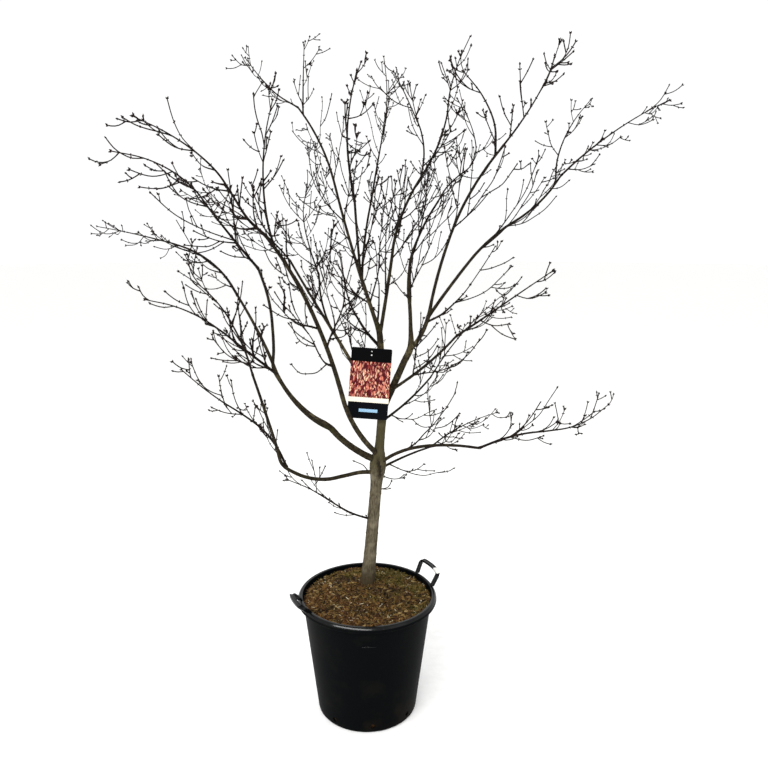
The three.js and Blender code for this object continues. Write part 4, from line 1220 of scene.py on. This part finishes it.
def facing(turn):
    """The level direction at a turn from the right, in radians."""
    return np.array([math.cos(turn), math.sin(turn), 0])


def ring(centre, aside, up, count):
    """Points round an oval, from its centre and its two half axes."""
    turns = [2 * math.pi * k / count for k in range(count)]
    return [centre + aside * math.cos(turn) + up * math.sin(turn) for turn in turns]


def skinned(rings, caps=False, closed=False):
    """Corners and faces over rings of points, with caps or closed in a loop. One point is a pole."""
    sides = max(len(points) for points in rings)
    corners, rows = [], []
    for points in rings:
        rows.append([len(corners) + k % len(points) for k in range(sides)])
        corners += list(points)
    faces = [tuple(rows[0][::-1]), tuple(rows[-1])] if caps else []
    for low, high in zip(rows, rows[1:] + rows[:closed]):
        for k in range(sides):
            n = (k + 1) % sides
            faces.append(tuple(dict.fromkeys((low[k], low[n], high[n], high[k]))))
    return np.array(corners) * MM, faces


def joined(solids):
    """Corners and faces of several solids as one."""
    corners, faces = [], []
    for points, rows in solids:
        faces += [tuple(i + len(corners) for i in row) for row in rows]
        corners += list(points)
    return corners, faces


def turned_shape(profile, sides):
    """Corners and faces of a closed turned shape; a profile point on the axis becomes one corner."""
    return skinned([ring(UP * height, RIGHT * radius, BACK * radius, sides if radius else 1)
                    for radius, height in profile])


def rounded(profile, steps=4):
    """A profile of (radius, height, round) with its corners rounded. A corner stays sharp where that is 0."""
    points = [np.array(row[:2], dtype=float) for row in profile]
    out = []
    for i, p in enumerate(points):
        r = profile[i][2]
        if not r:
            out.append(tuple(p))
            continue
        a, b = points[i - 1], points[(i + 1) % len(points)]
        r = min(r, math.dist(a, p) * 0.45, math.dist(b, p) * 0.45)
        start, end = p + unit(a - p) * r, p + unit(b - p) * r
        for k in range(steps + 1):
            t = k / steps
            out.append(tuple((1 - t) ** 2 * start + 2 * t * (1 - t) * p + t * t * end))
    return out


# Pot, handles and soil

def wall_radius(height):
    share = (height - FOOT_CURVE) / (POT_HEIGHT - LIP_HEIGHT - FOOT_CURVE)
    return between((FOOT_RADIUS, WALL_TOP_RADIUS), share)


def dress_pot(plastic, polished):
    lip_foot = POT_HEIGHT - LIP_HEIGHT
    inner = RIM_RADIUS - RIM_BAND
    profile = rounded([
        (0, 0, 0), (FOOT_RADIUS - FOOT_CURVE - 14, 0, 0), (FOOT_RADIUS - 2, 0, FOOT_CURVE),
        (wall_radius(FOOT_CURVE * 2), FOOT_CURVE * 2, 0), (wall_radius(200), 200, 0),
        (wall_radius(lip_foot + 6), lip_foot + 6, 2), (RIM_RADIUS - 5.5, lip_foot + 11, 2),
        (RIM_RADIUS - 5, lip_foot, 1), (RIM_RADIUS - 1.5, lip_foot, 1.2), (RIM_RADIUS, POT_HEIGHT - 17, 1),
        (RIM_RADIUS - 0.3, POT_HEIGHT - POLISHED_TOP, 3), (RIM_RADIUS - 6.5, POT_HEIGHT, 3),
        (inner + 1, POT_HEIGHT - 0.4, 4), (inner - 1, POT_HEIGHT - 10, 4),
        (wall_radius(lip_foot) - WALL, lip_foot - 8, 3), (wall_radius(FOOT_CURVE) - FLOOR, FOOT_CURVE, 5),
        (FOOT_RADIUS - FOOT_CURVE, FLOOR, 2), (0, FLOOR, 0)])
    target = placed("pot shell", mesh_of("pot shell", *turned_shape(profile, POT_SIDES)))
    cutter = placed("drain cutters", mesh_of("drain cutters", *joined(drain_bars())))
    cut = target.modifiers.new("cut", "BOOLEAN")
    cut.object, cut.operation, cut.solver = cutter, "DIFFERENCE", "EXACT"
    mesh = taken_off(target)
    bpy.data.objects.remove(cutter)
    mesh.shade_smooth()
    mesh.set_sharp_from_angle(angle=math.radians(50))
    coat(mesh, plastic, polished)
    for face in mesh.polygons:
        top = face.center.z > (POT_HEIGHT - POLISHED_TOP) * MM
        face.material_index = int(top and math.hypot(*face.center[:2]) > (inner + 2) * MM)
    piece("pot_shell", mesh, ["pot"])

    # A low moulded rib on the front of the wall fades out at both ends.
    rings = []
    for share in np.linspace(-1, 1, RIB_STEPS + 1):
        height = RIB_HEIGHT - RIB_DROP * share * share
        out = facing(math.radians(RIB_TURN) + share * RIB_WIDTH / 2 / wall_radius(height))
        thick = RIB_THICK * math.sqrt(max(1 - share * share, 0.01))
        rings.append(ring(out * wall_radius(height) + UP * height, out * thick, -UP * thick, ROUND_SIDES))
    rib = mesh_of("pot wall rib", *skinned(rings, caps=True))
    coat(rib, polished)
    piece("pot_wall_rib", rib)


def drain_bars():
    """Round bars that stand through the wall where the drain holes are."""
    for k in range(DRAIN_HOLES):
        turn = math.radians(DRAIN_TURN + 360 * k / DRAIN_HOLES)
        out, side = facing(turn), facing(turn + math.pi / 2)
        ends = [out * (FOOT_RADIUS + depth) + UP * DRAIN_HEIGHT for depth in (-DRAIN_CUT, DRAIN_CUT)]
        rings = [ring(end, side * DRAIN_RADIUS, UP * DRAIN_RADIUS, DRAIN_SIDES) for end in ends]
        yield skinned(rings, caps=True)


def handle_section():
    """The handle's section: a flat bar with a groove in its outer and its inner face."""
    deep, thick = HANDLE_DEPTH / 2, HANDLE_THICK / 2
    quarter = [(deep, 0), (deep, thick * 0.75), (deep * 0.92, thick), (deep * 0.5, thick),
               (deep * 0.42, thick - HANDLE_GROOVE), (0, thick - HANDLE_GROOVE)]
    top = quarter + [(-x, y) for x, y in quarter[-2::-1]]
    return top + [(x, -y) for x, y in top[-2:0:-1]]


def handle_rings(spec, stations, section):
    """Rings of a section along a handle, at stations of (way along the rim, rise above it)."""
    middle = RIM_RADIUS - RIM_BAND / 2
    outwards = [facing(math.radians(spec["turn"]) + aside / middle) for aside, _ in stations]
    points = [out * (middle + spec["lean"] * rise / spec["rise"]) + UP * (POT_HEIGHT + JOINT_GAP + rise)
              for out, (_, rise) in zip(outwards, stations)]
    rings = []
    for i, point in enumerate(points):
        rise = stations[i][1]
        along = unit(points[min(i + 1, len(points) - 1)] - points[max(i - 1, 0)])
        if rise == 0:
            along = UP if i == 0 else -UP
        side = unit(outwards[i] - along * (outwards[i] @ along))
        # The posts are a little thicker at their feet, where they grow out of the rim.
        other = cross(along, side) * (1 + HANDLE_FOOT_SWELLING * math.exp(-rise / HANDLE_FOOT_REACH))
        rings.append([point + side * x + other * y for x, y in section])
    return rings


def dress_handle(spec, plastic):
    half, rise = (spec["width"] - HANDLE_THICK) / 2, spec["rise"]
    stations = [(-half, 0), (-half, rise * 0.35)]
    for k in range(HANDLE_BENDS + 1):
        bend = k * math.pi / (2 * HANDLE_BENDS)
        stations.append((HANDLE_CORNER * (1 - math.cos(bend)) - half,
                         HANDLE_CORNER * (math.sin(bend) - 1) + rise))
    stations += [(-half * 0.5, rise), (-half * 0.25, rise)]
    stations += [(0, rise)] + [(-a, r) for a, r in reversed(stations)]
    mesh = mesh_of(spec["name"], *skinned(handle_rings(spec, stations, handle_section()), caps=True))
    mesh.set_sharp_from_angle(angle=math.radians(35))
    coat(mesh, plastic)
    piece("grip_" + spec["name"], mesh, [spec["name"]])


def dress_sleeve(spec):
    """A blank paper sleeve round the bar of the rear handle, with a tail that hangs below the bar."""
    deep, thick = HANDLE_DEPTH / 2 + SLEEVE_SPARE, HANDLE_THICK / 2 + SLEEVE_SPARE
    section = [(deep, thick), (-deep, thick), (-deep, -thick), (deep, -thick)]
    stations = [(SLEEVE_START + SLEEVE_LENGTH * k / 4, spec["rise"]) for k in range(5)]
    rings = handle_rings(spec, stations, section)
    start, end = np.mean(rings[0], axis=0), np.mean(rings[-1], axis=0)
    across_tail = unit(cross(end - start, UP))
    tail = []
    for share, drop, sway in SLEEVE_TAIL:
        a, b = start + (end - start) * share, end + (start - end) * share
        tail.append([p - UP * (thick + drop) + across_tail * (sway + half)
                     for p, half in ((a, -PAPER_HALF), (b, -PAPER_HALF), (b, PAPER_HALF), (a, PAPER_HALF))])
    mesh = mesh_of("paper sleeve", *joined([skinned(rings, caps=True), skinned(tail, caps=True)]))
    mesh.shade_flat()
    coat(mesh, plain_material("uncoated white paper", 0xe6e5e1, 0xcfcec9, 0.8, 3))
    piece("handle_paper_sleeve", mesh)


def soil_height(x, y, share):
    """The soil's height at a place, with its share of the way to the wall: a mound at the trunk, a dip at the
    edge, lumps, and a ridge where they meet the trunk."""
    from_trunk = math.hypot(x, y - TRUNK_FOOT_BACK)
    far = min(max(from_trunk - SOIL_MOUND_FLAT, 0) / SOIL_MOUND_REACH, 1)
    mound = (SOIL_MOUND_HEIGHT - SOIL_EDGE_HEIGHT) * (1 - far) ** 2 * (1 + 2 * far)
    lumps = sum(noise.noise(Vector((x / width, y / width, layer))) * height
                for width, height, layer in SOIL_LUMPS)
    near_trunk = math.exp(-((from_trunk - TRUNK_FOOT_RADIUS) / TRUNK_FOOT_RIDGE_WIDTH) ** 2)
    lumps = max(lumps, lumps * (1 - near_trunk) + TRUNK_FOOT_RIDGE * near_trunk)
    dip = SOIL_EDGE_DROP * max(0, share - SOIL_EDGE_START) / (1 - SOIL_EDGE_START)
    lumps *= min(1, (SOIL_LUMPS_END - share) * SOIL_LUMPS_FADE)
    return SOIL_EDGE_HEIGHT + mound - dip + lumps - SOIL_LOWER


def dress_soil():
    top = wall_radius(SOIL_EDGE_HEIGHT) - WALL - 1
    floor = FLOOR + JOINT_GAP
    profile = [(0, floor), (FOOT_RADIUS - FOOT_CURVE - SOIL_SPARE, floor),
               (wall_radius(FOOT_CURVE) - FLOOR - SOIL_SPARE, FOOT_CURVE + 1), (top, SOIL_EDGE_HEIGHT - 6)]
    profile += [(top * (1 - k / SOIL_RINGS), SOIL_EDGE_HEIGHT) for k in range(SOIL_RINGS + 1)]
    corners, faces = turned_shape(profile, SOIL_SIDES)
    first = 1 + 3 * SOIL_SIDES
    for corner in corners[first:]:
        x, y = corner[:2] / MM
        corner[2] = soil_height(x, y, math.hypot(x, y) / top) * MM
    # Damp crumbs in cells of 5 mm, and on them only the top of the soil carries loose bits.
    body = mesh_of("soil body", corners, faces)
    coat(body, compost_material("composted bark, damp", 0x33260f, 0.95, [
        0x1f160c, (0.1, 0.6, 0x33260f), (0.7, 0.95, 0x48371a)], 5))
    piece("soil_body", body, ["soil"])
    ground = mesh_of("soil top", corners, [face for face in faces if min(face) >= first])
    scatter = scatter_tree()
    for row in SOIL_BITS:
        dark, mid, pale, palest = row["colours"]
        bits = compost_material(row["name"], mid, 0.9, [
            dark, (0.0, 0.5, mid), (0.5, 0.9, pale), (0.93, 0.97, palest)])
        piece(row["piece"], run_tree(scatter, ground, Material=bits, **row))


# Label and tie

def label_place(points):
    """Card points (across, up, forward) turned and moved to where the label hangs."""
    aside, up = facing(math.radians(-LABEL_TURN)), facing(math.radians(90 - LABEL_TURN))
    return [LABEL_CENTRE + np.array((x * aside[0] + y * up[0], -z, x * aside[1] + y * up[1]))
            for x, y, z in points]


def dress_label():
    w, h = LABEL_WIDTH / 2, LABEL_HEIGHT / 2
    steps = LABEL_CORNER_STEPS
    corner = ring(np.zeros(3), RIGHT * LABEL_CORNER, BACK * LABEL_CORNER, 4 * steps)
    corner.append(corner[0])
    middles = [RIGHT * (w - LABEL_CORNER) * x + BACK * (h - LABEL_CORNER) * y for x, y in
               ((1, 1), (-1, 1), (-1, -1), (1, -1))]
    outlines = [[middle + p for k, middle in enumerate(middles)
                 for p in corner[steps * k:steps * (k + 1) + 1]]]
    for drop in LABEL_HOLE_DROPS:
        outlines.append(ring(BACK * (h - drop), RIGHT * LABEL_HOLE, BACK * LABEL_HOLE, LABEL_HOLE_SIDES))
    curve = bpy.data.curves.new("card", "CURVE")
    curve.dimensions, curve.fill_mode, curve.extrude = "2D", "BOTH", LABEL_THICK / 2
    for outline in outlines:
        spline = curve.splines.new("POLY")
        spline.points.add(len(outline) - 1)
        for point, place in zip(spline.points, outline):
            point.co = (*place, 1)
        spline.use_cyclic_u = True
    mesh = taken_off(placed("card", curve))
    flat = [tuple(v.co) for v in mesh.vertices]
    uv = mesh.uv_layers.new(name="card")
    for loop in mesh.loops:
        x, y, _ = flat[loop.vertex_index]
        uv.data[loop.index].uv = ((x + w) / LABEL_HEIGHT, (y + h) / LABEL_HEIGHT)
    for vertex, place in zip(mesh.vertices, label_place([(x, y, z + LABEL_THICK / 2) for x, y, z in flat])):
        vertex.co = place * MM
    mesh.update()
    mesh.shade_flat()
    coat(mesh, label_material())
    piece("label_card", mesh, ["label"])


def dress_tie(leader):
    """The tie is an oval loop that passes through the card's upper hole and round the leader."""
    front = label_place([(0, LABEL_HEIGHT / 2 - LABEL_HOLE_DROPS[0], LABEL_THICK / 2)])[0] + UP * TIE_REST
    target = min(leader["points"], key=lambda p: abs(p[2] - front[2])) * (RIGHT + BACK) + UP * front[2]
    cosine = 1 - 2 * TIE_FRONT / TIE_LENGTH
    sine = math.sqrt(1 - cosine * cosine)
    aside = unit(cross(target - front, UP))
    long = unit(target - front - aside * (sine * TIE_WIDTH / 2 / math.sqrt(2))) * (TIE_LENGTH / 2)
    wide = unit(unit(cross(long, UP)) + UP) * (TIE_WIDTH / 2)
    centre = front + long * cosine + wide * sine
    normal = unit(cross(long, wide))
    rings = []
    for i in range(TIE_STEPS):
        turn = 2 * math.pi * (i + 0.5) / TIE_STEPS
        side = cross(unit(long * math.sin(turn) + wide * math.cos(turn)), normal)
        rings.append(ring(centre - long * math.cos(turn) + wide * math.sin(turn), side * TIE_THICK / 2,
                          -normal * TIE_THICK / 2, ROUND_SIDES))
    loop = mesh_of("tie", *skinned(rings, closed=True))
    coat(loop, plain_material("black nylon", 0x101113, 0x060606, 0.5, 0.6))
    piece("tie_loop", loop, ["label_tie"])


# Floor, light and camera

def stage_scene():
    disc = ring(np.zeros(3), RIGHT * FLOOR_REACH, BACK * FLOOR_REACH, FLOOR_SIDES)
    floor = placed("studio_floor", mesh_of("studio floor", disc, [tuple(range(len(disc)))]))
    coat(floor.data, plain_material("white studio floor", 0xfcfcfb, 0xf8f8f7, 0.9, 40))

    scene = bpy.context.scene
    scene.world = bpy.data.worlds.new("white studio")
    scene.world.use_nodes = True
    background = scene.world.node_tree.nodes["Background"].inputs
    feed(background["Color"], 0xffffff)
    feed(background["Strength"], WORLD_STRENGTH)

    for name, place, width, height, power in LIGHTS:
        light = bpy.data.lights.new(name, "AREA")
        light.shape, light.size, light.size_y, light.energy = "RECTANGLE", width, height, power
        lamp = placed(name, light)
        lamp.location = place
        lamp.rotation_euler = (LIGHTS_AIM - Vector(place)).to_track_quat("-Z", "Y").to_euler()

    camera = bpy.data.cameras.new("camera")
    camera.lens, camera.sensor_width, camera.shift_y = CAMERA_LENS, 36, CAMERA_SHIFT
    camera.clip_start, camera.clip_end = 0.05, 60
    scene.camera = placed("camera", camera)
    scene.camera.location = CAMERA_PLACE
    scene.camera.rotation_euler = (math.radians(90 - CAMERA_DIP), 0, 0)
    scene.view_settings.view_transform = "Standard"


tree_limbs = grow_limbs()
dress_tree(tree_limbs)
polished_plastic = lip_material()
dress_pot(pot_material(), polished_plastic)
for handle_spec in HANDLES:
    dress_handle(handle_spec, polished_plastic)
dress_sleeve(HANDLES[1])
dress_soil()
dress_label()
dress_tie(tree_limbs["leader"])
stage_scene()
